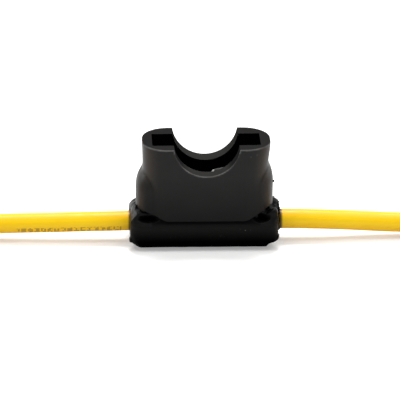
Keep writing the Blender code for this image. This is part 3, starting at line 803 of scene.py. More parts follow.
def round_section(tree, sides, radius):
    return add(tree, "GeometryNodeCurvePrimitiveCircle", {"Resolution": sides, "Radius": radius}).outputs[0]


def swept(tree, curve, section, smooth=True):
    """A section carried along a curve, with its ends closed."""
    made = add(tree, "GeometryNodeCurveToMesh", {"Curve": curve, "Profile Curve": section, "Fill Caps": True})
    if smooth:
        made = add(tree, "GeometryNodeSetShadeSmooth", {"Geometry": made.outputs[0]})
    return made.outputs[0]


def tube_tree():
    """A round tube along a curve, with its ends closed."""
    tree, sizes = geometry_tree("insulation_along_route", {"Radius": INSULATION_RADIUS, "Sides": TUBE_SIDES})
    upright = add(tree, "GeometryNodeSetCurveNormal", {"Curve": sizes["Geometry"]}, mode="Z_UP")
    section = round_section(tree, sizes["Sides"], sizes["Radius"])
    end_tree(tree, swept(tree, upright.outputs[0], section), lead_yellow)
    return tree


def line_curve(name, points):
    """A curve of one open spline through these points."""
    curve = bpy.data.curves.new(name, "CURVE")
    curve.dimensions = "3D"
    spline = curve.splines.new("POLY")
    spline.points.add(len(points) - 1)
    spline.points.foreach_set("co", np.hstack([points, np.ones((len(points), 1))]).ravel())
    return curve


# %% Insulation
leads = {}
tube = tube_tree()
for word, line in lead_lines.items():
    sizes = {"Radius": INSULATION_RADIUS, "Sides": TUBE_SIDES}
    leads[word] = grow("yellow_lead_" + word, line_curve("route_" + word, line), tube, sizes)
    print(leads[word].name, len(leads[word].data.polygons), "faces")

# %% [markdown]
# ## Strands
#
# The conductor is nineteen copper strands: one in the middle, six round it and twelve round those. Each
# is a thin rod, and the whole bundle is twisted: the further along a point is, the further it is turned
# about the middle. Where the insulation has been stripped off, the strands spread a little towards
# their cut ends.

# %% Strand tree
STRAND_RADIUS = 0.22 * MM
STRAND_SIDES = 8
STRAND_STEPS = 24
STRAND_PITCH = 2.04  # from the middle strand to those round it, in strand radii
OUTER_RING = 1.93  # radius of the outer ring, in radii of the inner one
TWIST_LENGTH = 0.030  # metres for one whole turn
TWIST_PER_METRE = 2 * math.pi / TWIST_LENGTH
STRAND_SPREAD = 0.16  # how much wider the bundle is at the cut end, as a share of its width
STRAY_LOW = (-0.10 * MM, -0.10 * MM, -0.25 * MM)
STRAY_HIGH = (0.10 * MM, 0.10 * MM, 0.05 * MM)


def strand_tree():
    """A twisted bundle of rods that opens a little towards its end."""
    tree, sizes = geometry_tree("twisted_strands", {
        "Length": STRIPPED_LENGTH, "Strand radius": STRAND_RADIUS, "Twist": TWIST_PER_METRE,
        "Spread": STRAND_SPREAD, "Seed": 3,
    })
    inner = product(tree, sizes["Strand radius"], STRAND_PITCH)
    outer = product(tree, inner, OUTER_RING)
    middle = add(tree, "GeometryNodeMeshLine", {"Count": 1})
    rings = [middle.outputs[0]]
    for count, radius in ((6, inner), (12, outer)):
        rings.append(add(tree, "GeometryNodeMeshCircle", {"Vertices": count, "Radius": radius}).outputs[0])
    places = add(tree, "GeometryNodeJoinGeometry")
    for ring in rings:
        tree.links.new(ring, places.inputs[0])
    end = add(tree, "ShaderNodeCombineXYZ", {"Z": sizes["Length"]})
    rod = add(tree, "GeometryNodeCurvePrimitiveLine", {"End": end.outputs[0]})
    rod = add(tree, "GeometryNodeResampleCurve", {"Curve": rod.outputs[0], "Count": STRAND_STEPS})
    rods = {"Points": places.outputs[0], "Instance": rod.outputs[0]}
    rods = add(tree, "GeometryNodeInstanceOnPoints", rods)
    number = add(tree, "GeometryNodeInputIndex").outputs[0]
    named = {"Geometry": rods.outputs[0], "Name": "strand", "Value": number}
    rods = add(tree, "GeometryNodeStoreNamedAttribute", named, domain="INSTANCE")
    real = add(tree, "GeometryNodeRealizeInstances", {"Geometry": rods.outputs[0]})

    position = add(tree, "GeometryNodeInputPosition").outputs[0]
    height = parts(tree, position)["Z"]
    share = math_node(tree, "DIVIDE", height, sizes["Length"])
    opened = product(tree, math_node(tree, "POWER", share, 2.0), sizes["Spread"])
    wider = math_node(tree, "ADD", opened, 1.0)
    scale = add(tree, "ShaderNodeCombineXYZ", {"X": wider, "Y": wider, "Z": 1.0}).outputs[0]
    scaled = add(tree, "ShaderNodeVectorMath", {0: position, 1: scale}, operation="MULTIPLY").outputs[0]
    angle = product(tree, height, sizes["Twist"])
    twisted = {"Vector": scaled, "Axis": (0.0, 0.0, 1.0), "Angle": angle}
    twisted = add(tree, "ShaderNodeVectorRotate", twisted).outputs[0]
    strand = add(tree, "GeometryNodeInputNamedAttribute", {"Name": "strand"}, data_type="INT").outputs[0]
    stray = add(tree, "FunctionNodeRandomValue", {
        0: STRAY_LOW, 1: STRAY_HIGH, "Seed": sizes["Seed"], "ID": strand,
    }, data_type="FLOAT_VECTOR").outputs[0]
    strayed = add(tree, "ShaderNodeVectorMath", {0: stray, "Scale": opened}, operation="SCALE").outputs[0]
    bent = add(tree, "GeometryNodeSetPosition", {
        "Geometry": real.outputs[0], "Position": twisted, "Offset": strayed,
    })
    section = round_section(tree, STRAND_SIDES, sizes["Strand radius"])
    end_tree(tree, swept(tree, bent.outputs[0], section), strand_copper)
    return tree


# %% [markdown]
# One tree makes all four bundles, each with its own length, spread and seed. It builds them standing at
# the origin, so each is then turned and carried to where its conductor starts.

# %% Bare and crimped strands
CRIMP_START = 9.1 * MM
CRIMP_END = 10.9 * MM
BARE_SEED = 3
CRIMPED_SEED = 5


def bundle(name, start, direction, length, spread, seed):
    """A bundle of strands that runs from a point in a direction."""
    made = grow(name, bpy.data.meshes.new(name + "_seed"), strands, {
        "Length": length, "Strand radius": STRAND_RADIUS, "Twist": TWIST_PER_METRE,
        "Spread": spread, "Seed": seed,
    })
    turn = Vector(direction).to_track_quat("Z", "Y").to_matrix().to_4x4()
    made.data.transform(Matrix.Translation(start) @ turn)
    return made


strands = strand_tree()
bare = {}
crimped = {}
for word, side in SIDES.items():
    line = lead_lines[word]
    direction = Vector(line[-1] - line[-2]).normalized()
    start = Vector(line[-1]) + direction * STRAND_GAP
    seed = BARE_SEED + side
    bare[word] = bundle("copper_strands_" + word, start, direction, STRIPPED_LENGTH, STRAND_SPREAD, seed)
    start = (side * CRIMP_START, 0.0, WIRE_HEIGHT)
    length = CRIMP_END - CRIMP_START
    crimped[word] = bundle("strands_in_crimp_" + word, start, (side, 0, 0), length, 0.0, CRIMPED_SEED)
    print(bare[word].name, len(bare[word].data.polygons), "faces")

# %% [markdown]
# ## Rounded solids
#
# Moulded parts have no knife edges. The plain solids have, so both black mouldings are built again with
# rounded ones. A loft does most of it: rings of points stacked up, each a rounded rectangle, joined by
# faces. Cuts are made with exact Booleans, and a cutter that flares at its mouth leaves a rounded edge
# round the hole. A bevel after the cuts would be shorter to write, but it fails where many small edges
# meet.

# %% Lofts
SAME_PLACE = 0.0005 * MM  # points nearer than this are one


def smooth_step(values):
    """0 below 0 and 1 above 1, with a smooth rise between."""
    held = np.clip(values, 0.0, 1.0)
    return held ** 2 * (3 - 2 * held)


def rounded_ring(width, depth, radius, steps):
    """For points round a rounded rectangle: the middle of each one's corner arc, and its way outwards.

    The steps are those along a long side, round a corner and along a short side.
    """
    half_u = width / 2 - radius
    half_v = depth / 2 - radius
    corners = ((half_u, half_v), (-half_u, half_v), (-half_u, -half_v), (half_u, -half_v))
    long_steps, corner_steps, short_steps = steps
    middles = []
    ways = []
    for turn in range(4):
        here = np.array(corners[turn])
        there = np.array(corners[(turn + 1) % 4])
        for i in range(corner_steps):
            angle = (turn + i / corner_steps) * math.pi / 2
            middles.append(here)
            ways.append((math.cos(angle), math.sin(angle)))
        side_steps = short_steps if turn % 2 else long_steps
        angle = (turn + 1) * math.pi / 2
        for i in range(side_steps):
            middles.append(here + (there - here) * i / side_steps)
            ways.append((math.cos(angle), math.sin(angle)))
    return np.array(middles), np.array(ways)


def loft(name, rings):
    """A closed solid through rings of points, from the lowest to the highest."""
    levels, count = rings.shape[:2]
    faces = []
    for level in range(levels - 1):
        for i in range(count):
            j = (i + 1) % count
            low = level * count
            faces.append((low + i, low + j, low + count + j, low + count + i))
    faces.append(tuple(reversed(range(count))))
    faces.append(tuple((levels - 1) * count + i for i in range(count)))
    mesh = bpy.data.meshes.new(name)
    mesh.from_pydata(rings.reshape(-1, 3).tolist(), [], faces)
    point_outwards(mesh)
    return add_object(name, mesh)


def point_outwards(mesh):
    edit = bmesh.new()
    edit.from_mesh(mesh)
    bmesh.ops.remove_doubles(edit, verts=edit.verts, dist=SAME_PLACE)
    bmesh.ops.recalc_face_normals(edit, faces=edit.faces)
    edit.to_mesh(mesh)
    edit.free()


def prism(name, outline, plane, start, end):
    """An outline of (u, v) in the plane XY, XZ or YZ, carried square to it from start to end."""
    outline = np.array(outline)
    rings = np.zeros((2, len(outline), 3))
    first, second = ("XYZ".index(letter) for letter in plane)
    rings[:, :, first] = outline[:, 0]
    rings[:, :, second] = outline[:, 1]
    rings[:, :, 3 - first - second] = np.array([[start], [end]])
    return loft(name, rings)


def box_outline(width, depth, radius, middle=(0.0, 0.0), steps=(1, 4, 1)):
    middles, ways = rounded_ring(width, depth, radius, steps)
    return middles + ways * radius + np.array(middle)


def at_height(outline, height):
    """A level ring of points from an outline in plan."""
    return np.column_stack([outline, np.full(len(outline), height)])


def turned(name, profile, axis_height, steps=96):
    """A profile of (y, radius) turned about a line along Y at that height."""
    angles = np.arange(steps) * 2 * math.pi / steps
    rings = np.zeros((len(profile), steps, 3))
    for level, (y, radius) in enumerate(profile):
        heights = axis_height + radius * np.cos(angles)
        rings[level] = np.stack([radius * np.sin(angles), np.full(steps, y), heights], axis=1)
    return loft(name, rings)


# %% Cuts and roundings


def apply_modifiers(piece):
    """Keeps what a piece's modifiers make of it as its mesh, and takes them off."""
    bpy.context.view_layer.update()
    evaluated = piece.evaluated_get(bpy.context.evaluated_depsgraph_get())
    piece.data = bpy.data.meshes.new_from_object(evaluated)
    piece.modifiers.clear()


def combine(target, other, operation):
    """One exact Boolean, made at once: UNION, DIFFERENCE or INTERSECT. The other object is used up."""
    modifier = target.modifiers.new(operation.title(), "BOOLEAN")
    modifier.operation = operation
    modifier.solver = "EXACT"
    modifier.object = other
    apply_modifiers(target)
    bpy.data.objects.remove(other, do_unlink=True)


def quarter(radius, steps=4):
    """A quarter round, as (in from the face, along the face) from the start of the rounding to its end."""
    angles = [math.pi / 2 * i / steps for i in range(steps + 1)]
    return [(radius * (1 - math.sin(a)), radius * (1 - math.cos(a))) for a in angles]


# %% [markdown]
# The boot's outer form is needed twice: for the boot, and a little larger to make room for it in the
# housing. It is what three prisms have in common, one for each view of it, so every edge gets the
# rounding of its own view.

# %% Form of the boot
BOOT_LEFT = -14.05 * MM
BOOT_RIGHT = 13.4 * MM
BOOT_DEPTH = 12.2 * MM
BOOT_HEIGHT = 8.2 * MM
BOOT_PLAN_RADIUS = 2.0 * MM
SECTION_RADII = (4.3 * MM, 4.3 * MM, 2.9 * MM, 2.9 * MM)  # the shoulders, then the foot
SIDE_RADII = (2.6 * MM, 2.4 * MM, 1.8 * MM, 3.0 * MM)  # from the top right, anticlockwise
OVERRUN = 2.0 * MM  # how far a cutter runs past the faces it cuts
ARC_STEPS = 14
DROOP = 1.0 * MM  # how far the boot's top hangs down at its left end
DROOP_START = -9.6 * MM


def four_radii(low, high, radii, growth):
    """A rectangle from low to high, larger by growth. Its radii start at the upper right, anticlockwise."""
    corners = ((high[0], high[1]), (low[0], high[1]), (low[0], low[1]), (high[0], low[1]))
    inwards = ((-1, -1), (1, -1), (1, 1), (-1, 1))
    points = []
    for turn in range(4):
        radius = radii[turn]
        middle_u = corners[turn][0] + inwards[turn][0] * radius
        middle_v = corners[turn][1] + inwards[turn][1] * radius
        for i in range(ARC_STEPS + 1):
            angle = (turn + i / ARC_STEPS) * math.pi / 2
            reach = radius + growth
            points.append((middle_u + reach * math.cos(angle), middle_v + reach * math.sin(angle)))
    return points


def boot_form(name, growth):
    """Where the boot's plan, section and side view meet, larger by growth all round."""
    middle_x = (BOOT_LEFT + BOOT_RIGHT) / 2
    length = BOOT_RIGHT - BOOT_LEFT + 2 * growth
    depth = BOOT_DEPTH + 2 * growth
    plan = box_outline(length, depth, BOOT_PLAN_RADIUS + growth, (middle_x, 0.0), (1, ARC_STEPS, 1))
    section = four_radii((-BOOT_DEPTH / 2, 0.0), (BOOT_DEPTH / 2, BOOT_HEIGHT), SECTION_RADII, growth)
    side = four_radii((BOOT_LEFT, 0.0), (BOOT_RIGHT, BOOT_HEIGHT), SIDE_RADII, growth)
    side = [(u, v - DROOP * (u < DROOP_START and v > BOOT_HEIGHT / 2)) for u, v in side]
    side.insert(ARC_STEPS + 1, (DROOP_START, BOOT_HEIGHT + growth))
    form = prism(name, plan, "XY", -OVERRUN, BOOT_HEIGHT + OVERRUN)
    combine(form, prism("section", section, "YZ", BOOT_LEFT - OVERRUN, BOOT_RIGHT + OVERRUN), "INTERSECT")
    combine(form, prism("side_view", side, "XZ", -BOOT_DEPTH, BOOT_DEPTH), "INTERSECT")
    return form

# %% [markdown]
# ## Socket housing
#
# The housing is one stiff moulding. An upright with rounded ends holds the fuse, and a domed lug swells
# out low on each end. In a Boolean the lug would meet the upright in a knife-sharp line. Here the two
# are blended: each point of the upright moves outwards until it lies on a surface that runs from one
# form into the other. Halving the step again and again finds that place for all points at once.

# %% Upright and lugs
COLUMN_WIDTH = 23.4 * MM
COLUMN_DEPTH = 11.5 * MM
COLUMN_BACK = 6.05 * MM  # the rear wall is a little thicker than the front one
COLUMN_RADIUS = 4.8 * MM
COLUMN_REACH = {-1: 11.68 * MM, 1: 11.52 * MM}  # from the middle to each end, low down
COLUMN_FLARE = {-1: 0.13 * MM, 1: 0.36 * MM}  # how much further out each end is at the rim
FLARE_HEIGHTS = (15.5 * MM, 20.0 * MM)
COLUMN_FOOT = 3.5 * MM
RIM_HEIGHT = 20.0 * MM
RIM_ROUNDING = 0.2 * MM
LUG_MIDDLE_X = 8.25 * MM
LUG_HALF_LENGTH = {-1: 4.68 * MM, 1: 4.24 * MM}
LUG_HALF_DEPTH = 4.95 * MM
LUG_SHOULDER = {-1: 10.7 * MM, 1: 12.0 * MM}
LUG_DOME = 5.6 * MM
LUG_FULLNESS = {-1: 2.9, 1: 2.3}  # 2 is an ellipse in plan, and more is nearer a rectangle
CREASE_REACH = 0.26 * MM
LUG_BLEND = 0.42 * MM  # how near the two surfaces are when they start to run together
SEARCH = (-0.3 * MM, 2.0 * MM)  # how far in and out the blended surface is looked for
HALVINGS = 24
LEVEL_STEP = 0.3 * MM
COLUMN_STEPS = (56, 26, 10)


def by_side(x, pair):
    """One of two values for each point, by the side it is on."""
    return np.where(x < 0, pair[-1], pair[1])


def lug_distance(place):
    """Roughly how far points are outside the nearer lug: an upright oval bar under half an ellipsoid."""
    length = by_side(place[..., 0], LUG_HALF_LENGTH)
    fullness = by_side(place[..., 0], LUG_FULLNESS)
    x = (np.abs(place[..., 0]) - LUG_MIDDLE_X) / length
    y = place[..., 1] / LUG_HALF_DEPTH
    z = np.maximum(place[..., 2] - by_side(place[..., 0], LUG_SHOULDER), 0.0) / LUG_DOME
    plan = (np.abs(x) ** fullness + np.abs(y) ** fullness) ** (1 / fullness)
    size = np.sqrt(plan ** 2 + z ** 2)
    steepness = np.sqrt((x / length) ** 2 + (y / LUG_HALF_DEPTH) ** 2 + (z / LUG_DOME) ** 2)
    return size * (size - 1.0) / np.maximum(steepness, 1e-9)


def blended(first, second, width):
    """The nearer of two distances, with a smooth change from one to the other."""
    closeness = np.maximum(width - np.abs(first - second), 0.0) / width
    return np.minimum(first, second) - closeness ** 2 * width / 4


def upright():
    """The loft of the upright, with the lugs blended into it."""
    straight = np.arange(COLUMN_FOOT, RIM_HEIGHT - RIM_ROUNDING, LEVEL_STEP)
    levels = [(height, 0.0) for height in straight]
    for below, inset in quarter(RIM_ROUNDING, 5):
        levels.append((RIM_HEIGHT - below, inset))
    middles, ways = rounded_ring(COLUMN_WIDTH, COLUMN_DEPTH, COLUMN_RADIUS, COLUMN_STEPS)
    start = np.zeros((len(levels), len(middles), 3))
    for level, (height, inset) in enumerate(levels):
        start[level, :, :2] = middles + ways * (COLUMN_RADIUS - inset)
        rise = smooth_step((height - FLARE_HEIGHTS[0]) / (FLARE_HEIGHTS[1] - FLARE_HEIGHTS[0]))
        ends = by_side(start[level, :, 0], COLUMN_REACH) + by_side(start[level, :, 0], COLUMN_FLARE) * rise
        start[level, :, 0] *= ends / (COLUMN_WIDTH / 2)
        start[level, :, 1] *= np.where(start[level, :, 1] > 0, COLUMN_BACK / (COLUMN_DEPTH / 2), 1.0)
        start[level, :, 2] = height
    outwards = np.zeros_like(start)
    outwards[:, :, :2] = ways
    near = np.full(start.shape[:2], SEARCH[0])
    far = np.full(start.shape[:2], SEARCH[1])
    for _ in range(HALVINGS):
        middle = (near + far) / 2
        outside = blended(middle, lug_distance(start + outwards * middle[..., None]), LUG_BLEND) > 0
        far = np.where(outside, middle, far)
        near = np.where(outside, near, middle)
    return loft("housing", start + outwards * near[..., None])


housing = upright()
print("upright:", len(housing.data.polygons), "faces")

# %% [markdown]
# The rest of the housing is cut and joined. The boot's form is taken out of its foot, a core goes down
# inside the boot, and the slot and the scallop are cut from above. Both cutters flare where they come
# out, by the radius that the edge there should have.

# %% Core, slot and scallop
BOOT_CLEARANCE = 0.15 * MM  # between the boot and the housing that stands over it
CORE_WIDTH = 20.4 * MM
CORE_DEPTH = 8.9 * MM
CORE_RADIUS = 1.5 * MM
CORE_FOOT = 1.7 * MM
SEAT_HEIGHT = 8.7 * MM
SLOT_WIDTH = 19.8 * MM
SLOT_FRONT = -3.2 * MM
SLOT_BACK = 2.75 * MM
SLOT_RADIUS = 0.35 * MM
OUTER_ROUNDING = 0.16 * MM
INNER_ROUNDING = 0.07 * MM
SCALLOP_RADIUS = 6.08 * MM
SCALLOP_HEIGHT = 20.87 * MM
HAIR = 0.002 * MM  # keeps two surfaces from lying exactly in each other


def slot_cutter():
    """The room for the fuse, which widens at the rim to round its edge."""
    levels = [(SEAT_HEIGHT, 0.0)]
    for inset, beside in quarter(INNER_ROUNDING):
        levels.append((RIM_HEIGHT - inset + HAIR, beside))
    levels.append((RIM_HEIGHT + OVERRUN, INNER_ROUNDING))
    rings = []
    middle = (0.0, (SLOT_FRONT + SLOT_BACK) / 2)
    for height, growth in levels:
        depth = SLOT_BACK - SLOT_FRONT + 2 * growth
        outline = box_outline(SLOT_WIDTH + 2 * growth, depth, SLOT_RADIUS + growth, middle)
        rings.append(at_height(outline, height))
    return loft("slot", np.array(rings))


def scallop_cutter():
    """The round cut for finger and thumb. It widens at all four faces of the two walls that it cuts."""
    back = [(0.0, SCALLOP_RADIUS + INNER_ROUNDING)]
    front = [(0.0, SCALLOP_RADIUS + INNER_ROUNDING)]
    for half, inner, outer in ((back, SLOT_BACK, COLUMN_BACK), (front, -SLOT_FRONT, COLUMN_DEPTH / 2)):
        for inset, beside in quarter(INNER_ROUNDING)[::-1]:
            half.append((inner + inset - HAIR, SCALLOP_RADIUS + beside))
        for inset, beside in quarter(OUTER_ROUNDING):
            half.append((outer - inset + HAIR, SCALLOP_RADIUS + beside))
        half.append((outer + OVERRUN, SCALLOP_RADIUS + OUTER_ROUNDING))
    mirrored = [(-y, radius) for y, radius in reversed(front[1:])]
    return turned("scallop", mirrored + back, SCALLOP_HEIGHT)


combine(housing, boot_form("room_for_boot", BOOT_CLEARANCE), "DIFFERENCE")
core = prism("core", box_outline(CORE_WIDTH, CORE_DEPTH, CORE_RADIUS), "XY", CORE_FOOT, SEAT_HEIGHT + MM)
combine(housing, core, "UNION")
combine(housing, slot_cutter(), "DIFFERENCE")
combine(housing, scallop_cutter(), "DIFFERENCE")
print("with slot and scallop:", len(housing.data.polygons), "faces")

# %% [markdown]
# A moulding also has its faults: a curl of flash stands on the inner edge of the scallop, a nub was
# left on one lug, and the other lug has a nick.

# %% Flash, nub and nick
FLASH_START = 0.95 * MM
FLASH_END = 3.1 * MM
FLASH_HEIGHT = 0.36 * MM
FLASH_LEAST = 0.02 * MM
FLASH_LEAN = 0.22 * MM
FLASH_ROOT = 0.10 * MM  # how deep it sits in the wall
FLASH_HALF_THICKNESS = 0.07 * MM
FLASH_RINGS = 15
FLASH_SIDES = 10
PEBBLE_RINGS = 9
PEBBLE_SIDES = 14


def flash():
    """A thin curl that follows the scallop's edge, highest near its left end."""
    rings = []
    for share in np.linspace(0.0, 1.0, FLASH_RINGS):
        x = FLASH_START + (FLASH_END - FLASH_START) * share
        edge = SCALLOP_HEIGHT - math.sqrt(SCALLOP_RADIUS ** 2 - x ** 2)
        height = FLASH_HEIGHT * math.sin(math.pi * share ** 0.6) + FLASH_LEAST
        ring = []
        for i in range(FLASH_SIDES):
            angle = 2 * math.pi * i / FLASH_SIDES
            rise = max(math.sin(angle), 0.0)
            thickness = FLASH_HALF_THICKNESS * math.cos(angle) * (1 - 0.6 * rise)
            y = SLOT_FRONT - FLASH_ROOT + thickness + FLASH_LEAN * rise ** 2
            ring.append((x, y, edge - FLASH_ROOT + rise * (height + FLASH_ROOT)))
        rings.append(ring)
    return loft("flash", np.array(rings))


def pebble(name, middle, radii):
    """A small egg-shaped solid, in millimetres."""
    profile = [(-math.cos(a), max(math.sin(a), 0.02)) for a in np.linspace(0.0, math.pi, PEBBLE_RINGS)]
    made = turned(name, profile, 0.0, steps=PEBBLE_SIDES)
    scale = Matrix.Diagonal((*(radius * MM for radius in radii), 1.0))
    made.data.transform(Matrix.Translation(Vector(middle) * MM) @ scale)
    return made


combine(housing, flash(), "UNION")
combine(housing, pebble("nub", (12.42, -0.8, 11.9), (0.34, 0.35, 0.24)), "UNION")
combine(housing, pebble("nick", (-12.4, -1.6, 14.2), (0.5, 0.6, 0.4)), "DIFFERENCE")
print("with its faults:", len(housing.data.polygons), "faces")

# %% [markdown]
# Inside, the housing is hollow for the two contacts. Nobody sees these rooms in the picture, but the
# meshes are used on their own too, and a contact that is stuck in solid plastic would be wrong there.

# %% Rooms for the contacts
CONTACT_X = 4.85 * MM
CHANNEL_WIDTH = 8.0 * MM
CHANNEL_LOW_Y = -1.45 * MM
CHANNEL_HIGH_Y = 1.15 * MM
CHANNEL_TOP = 7.7 * MM
BLADE_SLOT_WIDTH = 5.8 * MM
BLADE_SLOT_DEPTH = 1.4 * MM
NOTCH_RADIUS = 2.2 * MM
NOTCH_START = 7.4 * MM
CHANNEL_CORNER = 0.4 * MM
BLADE_SLOT_CORNER = 0.2 * MM


def contact_rooms(side):
    """The channel for one contact, the slot over it for the blade, and the arched way out for its crimp."""
    middle = (side * CONTACT_X, side * (CHANNEL_LOW_Y + CHANNEL_HIGH_Y) / 2)
    plan = box_outline(CHANNEL_WIDTH, CHANNEL_HIGH_Y - CHANNEL_LOW_Y, CHANNEL_CORNER, middle)
    yield prism("channel", plan, "XY", -OVERRUN, CHANNEL_TOP)
    blade = box_outline(BLADE_SLOT_WIDTH, BLADE_SLOT_DEPTH, BLADE_SLOT_CORNER, (side * CONTACT_X, 0.0))
    yield prism("blade_slot", blade, "XY", CORE_FOOT, SEAT_HEIGHT + OVERRUN)
    angles = np.linspace(0, math.pi, 20)
    arch = [(NOTCH_RADIUS * math.cos(a), WIRE_HEIGHT + NOTCH_RADIUS * math.sin(a)) for a in angles]
    arch += [(-NOTCH_RADIUS, -OVERRUN), (NOTCH_RADIUS, -OVERRUN)]
    ends = sorted((side * NOTCH_START, side * (CORE_WIDTH / 2 + OVERRUN)))
    yield prism("way_out", arch, "YZ", *ends)


for side in SIDES.values():
    for room in contact_rooms(side):
        combine(housing, room, "DIFFERENCE")
print("with rooms for the contacts:", len(housing.data.polygons), "faces")

# %% [markdown]
# The cuts leave long thin faces beside small ones. Normals weighted by area keep the large faces flat
# in the light, and let the shading turn only where an edge is rounded. Before that, the mesh gets the
# values that the finish reads: where an edge is pale from wear and painted highlight, which faces belong
# to the scallop's cut, and where a lug meets the upright, where the finish paints shade.

# %% Values for the finish
RIM_BAND = 0.8 * MM
CUT_TOLERANCE = 0.06 * MM
CUT_TURN = 0.3  # the cut's own faces look less than this forwards or back
# the pale edges stand for wear and a painted highlight in one
RIM_WEAR = 0.85
RIM_FADING = 0.6  # how much of the wear is lost towards the rim's ends
RIM_FADE_START = {-1: 10.0, 1: 9.0}  # millimetres out along x
RIM_FADE_LENGTH = 1.5  # millimetres
SCALLOP_FADING = 0.85
SCALLOP_FADE_START = 3.6  # millimetres out along x
SCALLOP_FADE_LENGTH = 1.6  # millimetres
CREASE_START = 9.4 * MM  # out along x
FLASH_ROOM = 0.2 * MM  # what is this near the slot's front wall
FLASH_DROP = 5 * MM  # and this far under the scallop's centre belongs to the flash
TORN_LENGTH = 0.5 * MM  # of the flash, from its left end
EDGE_TURN = (math.radians(9), math.radians(60))  # between neighbouring faces of a rounded edge
EDGE_WIDTH = 0.25 * MM


def keep_values(mesh, name, domain, values):
    mesh.attributes.new(name, "FLOAT", domain).data.foreach_set("value", values)


def mesh_places(mesh):
    places = np.zeros(len(mesh.vertices) * 3)
    mesh.vertices.foreach_get("co", places)
    return places.reshape(-1, 3)


def mark_cut(piece):
    """Keeps on each face whether the scallop's cutter made it, as "cut": smoother there, and in the shade."""
    cut = [0.0] * len(piece.data.polygons)
    for index, face in enumerate(piece.data.polygons):
        away = math.hypot(face.center.x, face.center.z - SCALLOP_HEIGHT)
        on_arc = abs(away - SCALLOP_RADIUS) < CUT_TOLERANCE and face.center.z < RIM_HEIGHT
        if on_arc and abs(face.normal.y) < CUT_TURN:
            cut[index] = 1.0
    keep_values(piece.data, "cut", "FACE", cut)


def wear_and_highlight(place):
    """How pale an edge is made there, partly from wear and partly as a painted highlight: the front of the
    rim, and the bottom of the scallop, most.
    """
    out = abs(place.x) / MM
    if place.z > RIM_HEIGHT - RIM_BAND:
        fade_start = RIM_FADE_START[1 if place.x > 0 else -1]
        return RIM_WEAR - RIM_FADING * smooth_step((out - fade_start) / RIM_FADE_LENGTH)
    return 1.0 - SCALLOP_FADING * smooth_step((out - SCALLOP_FADE_START) / SCALLOP_FADE_LENGTH)


def mark_edges(piece):
    """Keeps on each face how strongly it curves outwards, as "edge". The flash's torn end counts as 2, for a
    painted highlight.
    """
    edit = bmesh.new()
    edit.from_mesh(piece.data)
    edge = edit.faces.layers.float.new("edge")
    for face in edit.faces:
        turn = 0.0
        middle = face.calc_center_median()
        for side in face.edges:
            if len(side.link_faces) == 2 and side.is_convex:
                angle = side.calc_face_angle()
                turn += angle * side.calc_length() if EDGE_TURN[0] < angle < EDGE_TURN[1] else 0.0
        face[edge] = min(turn / max(face.calc_area(), 1e-12) * EDGE_WIDTH, 1.0) * wear_and_highlight(middle)
        at_left_end = FLASH_START < middle.x < FLASH_START + TORN_LENGTH
        on_flash = middle.z < SCALLOP_HEIGHT - FLASH_DROP and abs(middle.y - SLOT_FRONT) < FLASH_ROOM
        if at_left_end and on_flash and turn > 0:
            face[edge] = 2.0
    edit.to_mesh(piece.data)
    edit.free()


def mark_crease(piece):
    """Keeps on each point how near it is to the line where a lug meets the upright, as "crease"."""
    places = mesh_places(piece.data)
    ends = by_side(places[:, 0], COLUMN_REACH)
    x = np.maximum(np.abs(places[:, 0]) - (ends - COLUMN_RADIUS), 0.0)
    y = np.maximum(np.abs(places[:, 1]) - (COLUMN_DEPTH / 2 - COLUMN_RADIUS), 0.0)
    upright_distance = np.abs(np.hypot(x, y) - COLUMN_RADIUS)
    near = np.maximum(upright_distance, np.abs(lug_distance(places)))
    past_start = smooth_step((np.abs(places[:, 0]) - CREASE_START) / MM)
    crease = smooth_step(1.0 - near / CREASE_REACH) * past_start
    keep_values(piece.data, "crease", "POINT", crease)


point_outwards(housing.data)
mark_edges(housing)
mark_crease(housing)
mark_cut(housing)
marks = [name for name in ("edge", "crease", "cut") if name in housing.data.attributes]
print("the housing keeps", ", ".join(marks))

# %% Shading
HOUSING_SHARP_ANGLE = math.radians(32)


def shade(piece, sharp_angle):
    """Smooth shading that stays sharp at hard edges, with normals weighted by the area of the faces."""
    piece.data.shade_smooth()
    piece.data.set_sharp_from_angle(angle=sharp_angle)
    modifier = piece.modifiers.new("Weighted normals", "WEIGHTED_NORMAL")
    modifier.keep_sharp = True
    modifier.weight = 100
    apply_modifiers(piece)


def paint(piece, material):
    piece.data.materials.clear()
    piece.data.materials.append(material)


shade(housing, HOUSING_SHARP_ANGLE)
paint(housing, housing_plastic)
housing.name = "moulded_housing"

# %% [markdown]
# ## Rubber boot
#
# The boot is a soft sleeve over the foot of the housing. Rubber has no crisp edges and this one has
# been handled: its lip stands off the housing at the corners, and the right end is torn. A simulation
# of soft rubber wouldn't tear in the same places. So its solid form is turned into an even skin of
# small faces with a voxel remesh, smoothed, and then pushed into shape here and there, as one would
# with a thumb.

# %% Form of the sleeve
SKIN_VOXEL = 0.17 * MM
SKIN_SMOOTHINGS = 4
SLEEVE_FLOOR = 1.4 * MM
SLEEVE_CLEARANCE = 0.12 * MM
BORE_END = 12.9 * MM
BORE_RADIUS = 2.8 * MM
LEAD_HOLE_RADIUS = LEAD_DIAMETER / 2 + 0.05 * MM
COLLAR_RADIUS = 2.45 * MM
COLLAR_END = 13.95 * MM
COLLAR_HEIGHT = 4.3 * MM


def round_bar(name, radius, start_x, end_x, height, steps=48):
    angles = np.arange(steps) * 2 * math.pi / steps
    outline = np.column_stack([radius * np.cos(angles), height + radius * np.sin(angles)])
    return prism(name, outline, "YZ", start_x, end_x)


